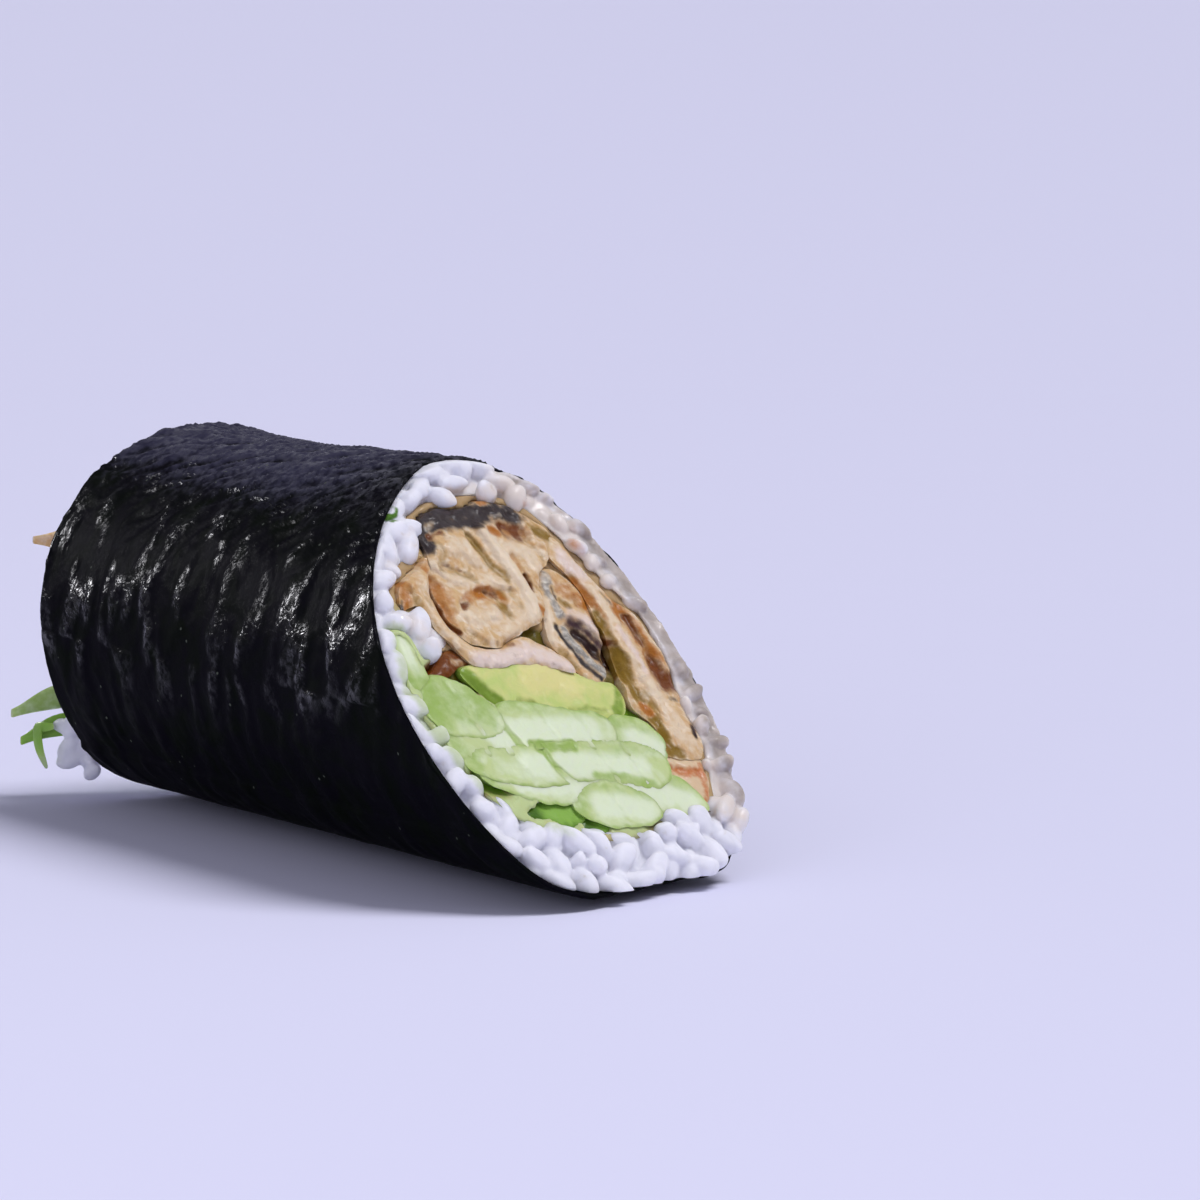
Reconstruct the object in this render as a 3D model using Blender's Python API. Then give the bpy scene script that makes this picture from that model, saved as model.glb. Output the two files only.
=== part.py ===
"""One cut half of a nori-wrapped eel roll, lying on its flattened underside.

X runs along the roll. Its back end, at -X, is the roll's own end, where rice and filling stick out.
The front end is a slanted knife cut that faces +X and up. The fillings run through the rice, which
the nori wraps.
"""
import math
import random

import bmesh
import bpy
from mathutils import Vector, noise
from mathutils.geometry import delaunay_2d_cdt

MM = 0.001

# Driving dimensions. The roll lies on its flattened underside with its axis level.
ROLL_RADIUS = 27.5 * MM
AXIS_HEIGHT = 23.0 * MM
BACK_X = -53.83 * MM
CUT_X = 40.77 * MM
CUT_RISE_SLOPE = 1.015
CUT_SIDE_SLOPE = 0.187
BACK_LEAN = 0.13

# The roll is a little thicker towards its back end, and most at the rim itself, as shares of its size
# at the cut
BACK_SWELL = 0.036
RIM_SWELL = 0.028
RIM_SWELL_SHARE = 0.12

NORI_THICKNESS = 0.6 * MM
NORI_OVERLAP_STEP = 0.4 * MM
GAP = 0.35 * MM
GRAIN_LENGTH = 5.6 * MM
GRAIN_WIDTH = 2.8 * MM
GRAIN_SIDES = 6
GRAIN_RINGS = 4

# How far apart the grains lie on each end of the rice, and how deep their middles sink into it
CUT_GRAIN_SPACING = 2.9 * MM
CUT_GRAIN_DEPTH = 0.7 * MM
BACK_GRAIN_SPACING = 3.8 * MM
BACK_GRAIN_DEPTH = 0.4 * MM

# How often a grain is turned, moved and shortened before it is left out, how often a spot is drawn for
# one, and how far it may move aside or stand up and down
GRAIN_TRIES = 24
SCATTER_TRIES = 9000
GRAIN_SHIFT = 0.9 * MM
GRAIN_LIFT = 0.3 * MM

# How the round roll is pressed out of round at the cut: waves of its radius round the girth
CUT_OVAL = -0.055
CUT_TRIANGLE = -0.021
CUT_SQUARE = 0.010
CUT_SQUARE_TURN = math.radians(45)
FLAT_SHARPNESS = 10
SETTLE = 0.45 * MM

# Where the nori's outer layer ends, and where the layer under it starts, in degrees round the girth
OVERLAP_FROM = -146
OVERLAP_TO = -52

# The dents and swells of the wrap, their spacing, and the height over which they fade out above the
# underside
NORI_RELIEF = 0.5 * MM
NORI_WAVE = 15 * MM
NORI_FADE = 5 * MM

# Fineness of the faceted shapes
NORI_SIDES = 64
NORI_ROWS = 20
RICE_SIDES = 56
RICE_ROWS = 5
FILLING_ROWS = 3
OUTLINE_STEP = 1.7 * MM
CAP_STEP = 2.3 * MM

# How deep the bare rice lies under the cut, before its grains stand on it
RICE_SUNK = 0.9 * MM

# How far the rice swells past the back rim: in the middle, and more over its near lower corner, which
# is given by its place and reach
RICE_BULGE = 1.6 * MM
CORNER_BULGE = 2.0 * MM
CORNER_Y = -15 * MM
CORNER_Z = 6 * MM
CORNER_REACH = 8 * MM

# The row of grains that spills over that corner: its ends, as y and z, and how far they hang out
SPILL_COUNT = 9
SPILL_FROM = (-9 * MM, 3.2 * MM)
SPILL_TO = (-19 * MM, 7.7 * MM)
SPILL_OUT = (0.2 * MM, 1.3 * MM)

# Relief of the cut faces: flaky eel has lumps and thin layers, and vegetable is nearly flat
FLAKE_LUMP = 3.2 * MM
FLAKE_DEPTH = 0.45 * MM
LAYER_PITCH = 1.1 * MM
LAYER_DEPTH = 0.25 * MM
FIRM_LUMP = 4 * MM
FIRM_DEPTH = 0.15 * MM

# Outlines in the section across the roll, as (y, z) in millimetres: +y is the far side, and z is the
# height. Each is a closed smooth curve through its points.
RICE_HOLLOW = [
    (-9.9, 44.9), (-4.0, 46.8), (4.0, 47.0), (9.4, 45.9), (13.2, 42.6), (19.2, 34.2), (21.7, 30.4),
    (21.9, 24.0), (20.6, 19.6), (21.0, 15.5), (19.4, 11.2), (17.4, 7.7), (14.0, 7.2), (9.4, 7.6),
    (6.0, 6.0), (-3.0, 5.8), (-14.6, 8.8), (-19.3, 12.9), (-23.4, 21.8), (-23.5, 27.0), (-22.8, 31.6),
    (-20.8, 32.0), (-19.6, 30.8), (-19.2, 28.5), (-16.8, 28.7), (-14.2, 29.7), (-15.5, 31.4),
    (-16.5, 33.4), (-19.5, 33.3), (-20.0, 35.0), (-17.0, 38.7), (-11.2, 41.4),
]
SHAPES = {
    "eel_roll": [
        (-10.0, 42.6), (-8.3, 44.8), (-5.0, 45.8), (5.0, 46.2), (8.6, 45.2), (12.4, 41.9), (9.2, 38.6),
        (5.6, 35.6), (4.8, 32.6), (0.4, 30.6), (-3.2, 29.0), (-7.2, 28.9), (-9.9, 30.3), (-11.2, 32.4),
        (-11.4, 35.6), (-10.0, 37.6), (-9.9, 40.2),
    ],
    "eel_fold": [
        (-10.9, 40.0), (-16.2, 37.6), (-18.9, 34.1), (-15.8, 34.1), (-14.9, 31.6), (-12.0, 28.6),
        (-11.3, 27.3), (-5.0, 27.2), (0.5, 26.7), (4.6, 25.1), (4.2, 26.8), (0.0, 29.2), (-3.2, 28.5),
        (-7.5, 28.4), (-10.6, 29.7), (-12.3, 31.6), (-13.0, 34.2), (-12.5, 36.8), (-10.9, 38.8),
    ],
    "eel_strip": [
        (6.4, 25.6), (4.8, 28.0), (4.3, 30.4), (5.5, 32.0), (6.2, 34.6), (7.9, 36.7), (9.6, 36.9),
        (11.3, 35.4), (12.2, 30.2), (11.9, 27.9), (10.4, 25.4), (9.0, 24.1),
    ],
    "eel_slab": [
        (10.4, 38.5), (12.0, 36.1), (12.7, 33.0), (13.0, 27.0), (11.9, 21.6), (12.0, 19.6), (13.7, 18.0),
        (14.2, 15.6), (15.5, 14.3), (19.5, 13.6), (20.4, 15.6), (19.9, 18.4), (21.3, 24.0), (21.0, 28.0),
        (19.8, 31.3), (17.6, 33.4), (13.8, 39.4), (12.4, 40.6),
    ],
    "eel_crust": [
        (-19.3, 26.1), (-17.0, 27.8), (-14.0, 28.8), (-12.4, 27.9), (-12.8, 27.1), (-17.0, 25.8),
    ],
    "fish_piece": [
        (12.1, 13.2), (13.6, 14.0), (16.0, 13.5), (18.9, 12.8), (18.2, 10.6), (17.0, 8.7), (15.9, 8.2),
    ],
    "avocado": [
        (-13.2, 26.0), (-10.6, 26.8), (0.4, 26.2), (4.4, 24.5), (10.9, 21.7), (10.6, 19.8), (9.2, 19.1),
        (2.5, 20.5), (-6.5, 22.5), (-9.6, 22.3),
    ],
}

# Cucumber strips in the same section: one end, the other end, thickness, rise of the middle and how
# much each end narrows, from 0 for blunt to 1 for pointed
CUCUMBER = {
    "cucumber_01": ((-21.6, 31.2), (-21.4, 25.8), 2.7, 0.0, 0.3, 0.2),
    "cucumber_02": ((-22.5, 22.4), (-10.9, 21.9), 3.9, 1.0, 0.1, 0.9),
    "cucumber_03": ((-21.4, 19.3), (5.6, 18.1), 3.0, 0.7, 0.4, 0.3),
    "cucumber_04": ((6.4, 18.2), (13.1, 16.2), 3.2, 0.1, 0.5, 0.2),
    "cucumber_05": ((-19.9, 16.7), (11.3, 13.4), 2.3, 0.7, 0.3, 0.6),
    "cucumber_06": ((-18.6, 14.4), (0.0, 12.7), 2.4, -0.7, 0.7, 0.4),
    "cucumber_07": ((0.9, 12.6), (15.0, 8.4), 2.6, 0.4, 0.8, 0.7),
    "cucumber_08": ((-4.6, 10.3), (6.7, 8.4), 3.9, 0.1, 0.2, 0.1),
    "cucumber_peel_01": ((-14.2, 10.0), (-6.1, 9.5), 1.7, 0.3, 0.5, 0.5),
    "cucumber_peel_02": ((-6.3, 8.0), (-1.9, 6.9), 1.4, 0.1, 0.4, 0.5),
}

# How far each filling stops short of the cut and sticks out of the back end, in millimetres
REACH = {
    "eel_roll": (0.3, -1.2), "eel_fold": (0.1, 0.0), "eel_strip": (1.5, -2.0), "eel_slab": (0.2, 2.5),
    "eel_crust": (1.3, -1.0), "fish_piece": (0.8, -3.0), "avocado": (0.4, 1.0),
    "cucumber_01": (0.6, -4.0), "cucumber_02": (0.5, 3.0), "cucumber_03": (0.2, 1.2),
    "cucumber_04": (0.5, 4.5), "cucumber_05": (0.3, 0.0), "cucumber_06": (0.0, 2.2),
    "cucumber_07": (-0.2, 3.4), "cucumber_08": (-0.1, 0.6), "cucumber_peel_01": (1.1, 0.0),
    "cucumber_peel_02": (0.8, -2.0),
}

# Fillings whose loose end leaves the back: points past the rim, as (x past it, y, z), and the end's
# width and height, all in millimetres
TAILS = {
    "cucumber_05": (
        [(-3.5, -8.0, 15.6), (-7.5, -17.5, 14.2), (-10.5, -23.5, 12.7), (-13.0, -28.1, 10.6)], 2.0, 1.2),
    "cucumber_peel_01": (
        [(-3.0, -13.0, 9.6), (-7.0, -20.0, 9.0), (-10.0, -26.0, 7.7), (-11.5, -27.4, 5.2)], 2.6, 2.4),
    "eel_fold": ([(-2.5, -11.0, 34.8), (-6.0, -18.5, 36.2), (-9.6, -25.0, 36.4)], 1.2, 1.8),
}

# How soon a tail's middle slides to its path and its section shrinks: under 1 is early
TAIL_SLIDE = 0.35
TAIL_SHRINK = 0.6

COLOURS = {
    "nori": ((0.012, 0.012, 0.016), 0.35),
    "rice": ((0.80, 0.79, 0.82), 0.30),
    "eel": ((0.72, 0.52, 0.33), 0.45),
    "crust": ((0.22, 0.07, 0.02), 0.35),
    "fish": ((0.80, 0.38, 0.22), 0.45),
    "avocado": ((0.62, 0.72, 0.25), 0.40),
    "cucumber": ((0.60, 0.74, 0.42), 0.25),
    "peel": ((0.16, 0.36, 0.07), 0.25),
}

# The finish of each filling, by the first of these that its name starts with
FINISHES = {
    "eel_crust": "crust", "eel": "eel", "fish": "fish", "avocado": "avocado", "cucumber_peel": "peel",
    "cucumber": "cucumber",
}


def clear_scene():
    for item in list(bpy.data.objects):
        bpy.data.objects.remove(item)


def make_material(name):
    colour, roughness = COLOURS[name]
    material = bpy.data.materials.new(name)
    material.use_nodes = True
    shader = material.node_tree.nodes["Principled BSDF"]
    shader.inputs["Base Color"].default_value = (*colour, 1)
    shader.inputs["Roughness"].default_value = roughness
    shader.inputs["Metallic"].default_value = 0
    return material


def ease(value):
    """A smooth step from 0 to 1."""
    value = min(1, max(0, value))
    return value * value * (3 - 2 * value)


def cut_x(y, z):
    """Where the knife's plane stands at a point of the section."""
    return CUT_X - CUT_RISE_SLOPE * (z - AXIS_HEIGHT) - CUT_SIDE_SLOPE * y


def back_x(y, z):
    """Where the back rim stands at a point of the section."""
    return BACK_X - BACK_LEAN * (z - AXIS_HEIGHT)


def swell(along):
    """How thick the roll is as a share of its size at the cut: along is 0 at the back and 1 at the cut."""
    return 1 + BACK_SWELL * (1 - along) + RIM_SWELL * math.exp(-along / RIM_SWELL_SHARE)


def roll_radius(angle, along):
    """The roll's radius round its axis, cut off smoothly by the flat underside."""
    waves = CUT_OVAL * math.cos(2 * angle) + CUT_TRIANGLE * math.cos(3 * angle)
    waves += CUT_SQUARE * math.cos(4 * angle + CUT_SQUARE_TURN)
    radius = ROLL_RADIUS * swell(along) * (1 + along * waves)
    if math.sin(angle) >= 0:
        return radius
    flat = AXIS_HEIGHT * swell(along) / -math.sin(angle)
    return (radius ** -FLAT_SHARPNESS + flat ** -FLAT_SHARPNESS) ** (-1 / FLAT_SHARPNESS)


def roll_point(angle, along, depth, relief=0.0):
    """A point of the section at a depth under the nori's outside, held above the flat underside."""
    radius = roll_radius(angle, along) - depth + relief
    z = AXIS_HEIGHT * swell(along) + radius * math.sin(angle) - SETTLE
    return radius * math.cos(angle), max(depth, z)


def nori_relief(x, y, z):
    """Soft dents and swells of the wrap, none on the underside."""
    place = Vector((x, y, z)) / NORI_WAVE
    waves = noise.noise(place) + 0.5 * noise.noise(place * 2.3)
    return max(-NORI_THICKNESS / 2, NORI_RELIEF * waves * ease(z / NORI_FADE))


def overlap_step(angle):
    """The second layer's thickness, where the wrap lies double under the roll."""
    degrees = math.degrees(angle)
    start = ease((degrees - OVERLAP_FROM) / 8)
    end = 1 - ease((degrees - OVERLAP_TO) / 2)
    return NORI_OVERLAP_STEP * start * end


def flake_relief(y, z):
    """The uneven break of cooked eel flesh on the cut: flakes that stand and dip."""
    lumps = FLAKE_DEPTH * noise.noise(Vector((y, z, 0)) / FLAKE_LUMP)
    return lumps + LAYER_DEPTH * math.sin((y + 0.4 * z) / LAYER_PITCH)


def firm_relief(y, z):
    """The nearly flat cut of raw vegetable."""
    return FIRM_DEPTH * noise.noise(Vector((y, z, 5 * MM)) / FIRM_LUMP)


def ring(along, depth, count, outside=False):
    """One ring of points round the roll, on a slant that turns from the back rim's into the cut's."""
    points = []
    for step in range(count):
        angle = math.tau * step / count - math.pi
        y, z = roll_point(angle, along, depth)
        x = back_x(y, z) + (cut_x(y, z) - back_x(y, z)) * along
        if outside:
            relief = nori_relief(x, y, z) + overlap_step(angle)
            y, z = roll_point(angle, along, depth, relief)
        points.append(Vector((x, y, z)))
    return points


def smooth_outline(points):
    """A closed smooth curve through the points, given in millimetres, as evenly spaced (y, z) in metres."""
    knots = [Vector(point) * MM for point in points]
    curve = []
    for i, start in enumerate(knots):
        before, end, after = knots[i - 1], knots[(i + 1) % len(knots)], knots[(i + 2) % len(knots)]
        steps = max(1, round((end - start).length / OUTLINE_STEP))
        for step in range(steps):
            t = step / steps
            curve.append(0.5 * (
                2 * start + (end - before) * t + (2 * before - 5 * start + 4 * end - after) * t * t
                + (3 * start - before - 3 * end + after) * t ** 3))
    return curve


def strip_outline(start, end, thickness, rise, start_taper, end_taper):
    """A strip's rounded section between two ends, in millimetres, as (y, z) in metres."""
    start, end = Vector(start), Vector(end)
    middle, half = (start + end) / 2, (end - start) / 2
    up = Vector((-half.y, half.x)).normalized()
    if up.y < 0:
        up = -up
    count = max(12, 2 * round(half.length * MM / OUTLINE_STEP) + 6)
    curve = []
    for step in range(count):
        angle = math.tau * step / count
        run = math.copysign(abs(math.cos(angle)) ** 0.6, math.cos(angle))
        lift = math.copysign(abs(math.sin(angle)) ** 0.6, math.sin(angle))
        taper = end_taper if run > 0 else start_taper
        lift *= thickness / 2 * (1 - 0.8 * taper * run * run)
        curve.append((middle + half * run + up * (lift + rise * (1 - run * run))) * MM)
    return curve


def is_inside(point, outline):
    inside = False
    for i, end in enumerate(outline):
        start = outline[i - 1]
        if (start.y > point[1]) != (end.y > point[1]):
            crossing = start.x + (end.x - start.x) * (point[1] - start.y) / (end.y - start.y)
            if point[0] < crossing:
                inside = not inside
    return inside


def clearance(point, outline):
    """The distance from a point to the nearest point of an outline's sides."""
    spot = Vector(point)
    nearest = 1.0
    for i, end in enumerate(outline):
        start = outline[i - 1]
        side = end - start
        share = min(1, max(0, (spot - start).dot(side) / side.length_squared))
        nearest = min(nearest, (spot - start - side * share).length)
    return nearest


def cap(outline, hollow, step, seed):
    """Triangles that fill an outline round its hollow: the points added inside, and each one's corners."""
    draw = random.Random(seed)
    inner = []
    low_y, high_y = min(p.x for p in outline), max(p.x for p in outline)
    low_z, high_z = min(p.y for p in outline), max(p.y for p in outline)
    for row in range(round((high_z - low_z) / step) + 1):
        for column in range(round((high_y - low_y) / step) + 1):
            y = low_y + (column + draw.uniform(-0.25, 0.25) + 0.5 * (row % 2)) * step
            z = low_z + (row + draw.uniform(-0.25, 0.25)) * step
            clear = is_inside((y, z), outline) and clearance((y, z), outline) > 0.55 * step
            if clear and hollow:
                clear = not is_inside((y, z), hollow) and clearance((y, z), hollow) > 0.55 * step
            if clear:
                inner.append(Vector((y, z)))
    loops = [outline, hollow] if hollow else [outline]
    points = [point for loop in loops for point in loop] + inner
    edges = []
    first = 0
    for loop in loops:
        edges += [(first + i, first + (i + 1) % len(loop)) for i in range(len(loop))]
        first += len(loop)
    found, _, faces, sources, _, _ = delaunay_2d_cdt(points, edges, [], 1, 1e-9)
    triangles = []
    for face in faces:
        centre = sum((found[i] for i in face), Vector((0, 0))) / 3
        if is_inside(centre, outline) and not (hollow and is_inside(centre, hollow)):
            triangles.append([sources[i][0] for i in face])
    return inner, triangles


def finish_body(body, name, material):
    bmesh.ops.triangulate(body, faces=body.faces[:])
    bmesh.ops.recalc_face_normals(body, faces=body.faces[:])
    mesh = bpy.data.meshes.new(name)
    body.to_mesh(mesh)
    body.free()
    mesh.materials.append(material)
    mesh.shade_smooth()
    mesh.set_sharp_from_angle(angle=math.radians(50))
    item = bpy.data.objects.new(name, mesh)
    bpy.context.scene.collection.objects.link(item)
    return item


def join_rings(body, rings, closed=False):
    """Skin a row of rings; a closed row comes back to its first ring."""
    count = len(rings[0])
    pairs = list(zip(rings, rings[1:]))
    if closed:
        pairs.append((rings[-1], rings[0]))
    for one, other in pairs:
        for i in range(count):
            body.faces.new((one[i], one[(i + 1) % count], other[(i + 1) % count], other[i]))


def prism_ring(outline, start_x, end_x, share):
    """An outline set across the roll, at a share of the way from one end surface to the other."""
    points = []
    for spot in outline:
        start, end = start_x(*spot), end_x(*spot)
        points.append(Vector((start + (end - start) * share, spot.x, spot.y)))
    return points


def close_end(body, corners, hollow_corners, end_x, step, seed):
    """Cap one end of a body across its rim, and its hollow's rim if it has one."""
    outline = [Vector((corner.co.y, corner.co.z)) for corner in corners]
    hollow = [Vector((corner.co.y, corner.co.z)) for corner in hollow_corners]
    inner, triangles = cap(outline, hollow, step, seed)
    verts = list(corners) + list(hollow_corners)
    verts += [body.verts.new((end_x(*spot), *spot)) for spot in inner]
    for triangle in triangles:
        body.faces.new([verts[i] for i in triangle])


def make_nori(material):
    """The seaweed wrap: one thin skin, double under the roll, open at both ends."""
    body = bmesh.new()
    outer = [ring(row / NORI_ROWS, 0.0, NORI_SIDES, outside=True) for row in range(NORI_ROWS + 1)]
    inner = [ring(1 - row / RICE_ROWS, NORI_THICKNESS, NORI_SIDES) for row in range(RICE_ROWS + 1)]
    rings = [[body.verts.new(point) for point in points] for points in outer + inner]
    join_rings(body, rings, closed=True)
    return finish_body(body, "nori_wrap", material)


def rice_bulge(y, z):
    """How far the rice swells past the back rim: most in the middle, and over the near lower corner."""
    reach = math.hypot(y, z - AXIS_HEIGHT) / ROLL_RADIUS
    corner = math.exp(-((y - CORNER_Y) ** 2 + (z - CORNER_Z) ** 2) / CORNER_REACH ** 2)
    return RICE_BULGE * (1 - reach * reach) + CORNER_BULGE * corner


def rice_back_x(y, z):
    return back_x(y, z) - rice_bulge(y, z)


def rice_cut_x(y, z):
    return cut_x(y, z) - RICE_SUNK + firm_relief(y, z)


def make_rice_core(material, hollow):
    """The pressed rice between the nori and the fillings, without its grains."""
    body = bmesh.new()
    rings = [ring(row / RICE_ROWS, NORI_THICKNESS + GAP, RICE_SIDES) for row in range(RICE_ROWS + 1)]
    for point in rings[-1]:
        point.x = rice_cut_x(point.y, point.z)
    for point in rings[0]:
        point.x = rice_back_x(point.y, point.z)
    outer = [[body.verts.new(point) for point in points] for points in rings]
    shares = [row / RICE_ROWS for row in range(RICE_ROWS + 1)]
    tube = [prism_ring(hollow, rice_back_x, rice_cut_x, share) for share in shares]
    tube = [[body.verts.new(point) for point in points] for points in tube]
    join_rings(body, outer)
    join_rings(body, tube)
    close_end(body, outer[-1], tube[-1], rice_cut_x, 2 * CAP_STEP, 1)
    close_end(body, outer[0], tube[0], rice_back_x, 2 * CAP_STEP, 2)
    return finish_body(body, "rice", material)


def grain_body(place, long_way, draw, size=1.0):
    """One grain of cooked rice with few sides, as the corners of a stretched ball."""
    grain = bmesh.new()
    bmesh.ops.create_uvsphere(grain, u_segments=GRAIN_SIDES, v_segments=GRAIN_RINGS, radius=0.5)
    length = GRAIN_LENGTH * size * draw.uniform(0.88, 1.08)
    width = GRAIN_WIDTH * size * draw.uniform(0.9, 1.08)
    turn = Vector((0, 0, 1)).rotation_difference(long_way)
    spin = draw.uniform(0, math.pi)
    for vert in grain.verts:
        spot = Vector((vert.co.x * width, vert.co.y * width * 0.85, vert.co.z * length))
        x, y = spot.x, spot.y
        spot.x = x * math.cos(spin) - y * math.sin(spin)
        spot.y = x * math.sin(spin) + y * math.cos(spin)
        vert.co = turn @ spot + place
    return grain


def in_rice(point, fillings, along):
    """Whether a point lies clear between the nori and the fillings, at the back for 0 and the cut for 1."""
    height = point.z + SETTLE - AXIS_HEIGHT * swell(along)
    angle = math.atan2(height, point.y)
    limit = roll_radius(angle, along) - NORI_THICKNESS - GAP
    if math.hypot(point.y, height) > limit or point.z < NORI_THICKNESS + GAP:
        return False
    spot = (point.y, point.z)
    return all(not is_inside(spot, filling) and clearance(spot, filling) > GAP for filling in fillings)


def scatter(seed, spacing, slope, hollow, along):
    """Spots over a rice face, no two closer than the spacing as measured on the slanted face."""
    draw = random.Random(seed)
    spots = []
    reach = ROLL_RADIUS * swell(along)
    for _ in range(SCATTER_TRIES):
        y = draw.uniform(-reach, reach)
        z = draw.uniform(0, 2 * reach)
        if in_rice(Vector((0, y, z)), [hollow], along):
            if all(math.hypot(y - b, (z - c) * slope) > spacing for b, c in spots):
                spots.append((y, z))
    return spots


def face_grains(seed, spacing, hollow, fillings, along, end_x, outward, depth):
    """Grains over one end of the rice, each turned, moved and shortened until it clears its neighbours."""
    slope = math.hypot(1, CUT_RISE_SLOPE) if along else 1
    draw = random.Random(seed + 1)
    grains = []
    for y, z in scatter(seed, spacing, slope, hollow, along):
        girth = math.atan2(z - AXIS_HEIGHT, y) + math.pi / 2
        for attempt in range(GRAIN_TRIES):
            ease_in = attempt / GRAIN_TRIES
            shift = GRAIN_SHIFT * ease_in
            spot_y, spot_z = y + draw.uniform(-shift, shift), z + draw.uniform(-shift, shift)
            lift = draw.uniform(-GRAIN_LIFT, GRAIN_LIFT)
            turn = girth + draw.uniform(-1, 1) * (1.2 - ease_in)
            long_way = Vector((0, math.cos(turn), math.sin(turn)))
            if along:
                long_way.x = -CUT_RISE_SLOPE * long_way.z - CUT_SIDE_SLOPE * long_way.y
            long_way.x += draw.uniform(-0.7, 0.7)
            place = Vector((end_x(spot_y, spot_z) + outward * (lift - depth), spot_y, spot_z))
            grain = grain_body(place, long_way.normalized(), draw, 1 - 0.3 * ease_in)
            if all(in_rice(vert.co, fillings, along) for vert in grain.verts):
                grains.append(grain)
                break
            grain.free()
    return grains


def spilled_grains(seed):
    """Grains that hang out of the back end at its near lower corner, each overlapping the one before."""
    draw = random.Random(seed)
    grains = []
    for step in range(SPILL_COUNT):
        share = step / (SPILL_COUNT - 1)
        y = SPILL_FROM[0] + (SPILL_TO[0] - SPILL_FROM[0]) * share
        z = SPILL_FROM[1] + (SPILL_TO[1] - SPILL_FROM[1]) * share * share
        x = rice_back_x(y, z) - draw.uniform(*SPILL_OUT)
        long_way = Vector((draw.uniform(-0.4, 0.4), draw.uniform(-1, 1), draw.uniform(-0.3, 0.3)))
        grains.append(grain_body(Vector((x, y, z)), long_way.normalized(), draw))
    return grains


def make_rice(material, hollow, fillings):
    """The rice: its core, with the grains of both ends fused on."""
    rice = make_rice_core(material, hollow)
    grains = face_grains(11, CUT_GRAIN_SPACING, hollow, fillings, 1, cut_x, 1, CUT_GRAIN_DEPTH)
    grains += face_grains(21, BACK_GRAIN_SPACING, hollow, fillings, 0, rice_back_x, -1, BACK_GRAIN_DEPTH)
    grains += spilled_grains(31)
    heap = bpy.data.collections.new("rice_grains")
    for grain in grains:
        mesh = bpy.data.meshes.new("grain")
        grain.to_mesh(mesh)
        grain.free()
        mesh.materials.append(material)
        heap.objects.link(bpy.data.objects.new("grain", mesh))
    fuse = rice.modifiers.new("fuse grains", "BOOLEAN")
    fuse.operation = "UNION"
    fuse.operand_type = "COLLECTION"
    fuse.collection = heap
    fuse.solver = "EXACT"
    fuse.use_self = True
    bpy.context.view_layer.objects.active = rice
    bpy.ops.object.modifier_apply(modifier=fuse.name)
    for grain in list(heap.objects):
        bpy.data.objects.remove(grain)
    bpy.data.collections.remove(heap)
    return rice


def tail_rings(outline, path, width, height):
    """Rings past the back rim that lead a filling's loose end along its tail, from the tip inwards.

    The section shrinks into a small oval while its middle slides from the filling's own to the path.
    """
    centre = sum(outline, Vector((0, 0))) / len(outline)
    first = math.atan2(outline[0].y - centre.y, outline[0].x - centre.x)
    area = sum(a.x * b.y - b.x * a.y for a, b in zip(outline, outline[1:] + outline[:1]))
    rings = []
    for number, (run, y, z) in enumerate(path):
        share = (number + 1) / len(path)
        middle = centre.lerp(Vector((y, z)) * MM, share ** TAIL_SLIDE)
        shrink = share ** TAIL_SHRINK
        x = back_x(*centre) + run * MM
        points = []
        for i, corner in enumerate(outline):
            angle = first + math.copysign(math.tau, area) * i / len(outline)
            oval = Vector((math.cos(angle) * width, math.sin(angle) * height)) * MM / 2
            spot = middle + (corner - centre).lerp(oval, shrink)
            points.append(Vector((x, spot.x, spot.y)))
        rings.append(points)
    return rings[::-1]


def make_filling(name, outline, material, relief):
    """A filling that runs through the roll, from past or inside the back rim to the cut."""
    short, out = (value * MM for value in REACH[name])

    def start_x(y, z):
        return back_x(y, z) - out

    def end_x(y, z):
        return cut_x(y, z) - short + relief(y, z)

    body = bmesh.new()
    rings = [prism_ring(outline, start_x, end_x, row / FILLING_ROWS) for row in range(FILLING_ROWS + 1)]
    if name in TAILS:
        rings = tail_rings(outline, *TAILS[name]) + rings
    rings = [[body.verts.new(point) for point in points] for points in rings]
    join_rings(body, rings)
    close_end(body, rings[-1], [], end_x, CAP_STEP, 3)
    if name in TAILS:
        body.faces.new(rings[0])
    else:
        close_end(body, rings[0], [], start_x, 2 * CAP_STEP, 4)
    return finish_body(body, name, material)


def build():
    clear_scene()
    finish = {name: make_material(name) for name in COLOURS}
    outlines = {name: smooth_outline(points) for name, points in SHAPES.items()}
    outlines.update({name: strip_outline(*strip) for name, strip in CUCUMBER.items()})
    make_nori(finish["nori"])
    make_rice(finish["rice"], smooth_outline(RICE_HOLLOW), list(outlines.values()))
    for name, outline in outlines.items():
        slot = next(slot for start, slot in FINISHES.items() if name.startswith(start))
        relief = flake_relief if slot in ("eel", "crust", "fish") else firm_relief
        make_filling(name, outline, finish[slot], relief)


if __name__ == "__main__":
    build()
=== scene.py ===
"""The looks of one cut half of an eel roll: crinkled nori, moist rice, eel, avocado and cucumber.

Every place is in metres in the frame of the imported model: X runs along the roll to the slanted cut, and
the roll lies on z = 0. A place in the section across the roll is (y, z), given in millimetres.
"""
import math
from collections import namedtuple

import bmesh
import bpy
import numpy as np
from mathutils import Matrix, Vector, noise
from mathutils.geometry import delaunay_2d_cdt


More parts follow.
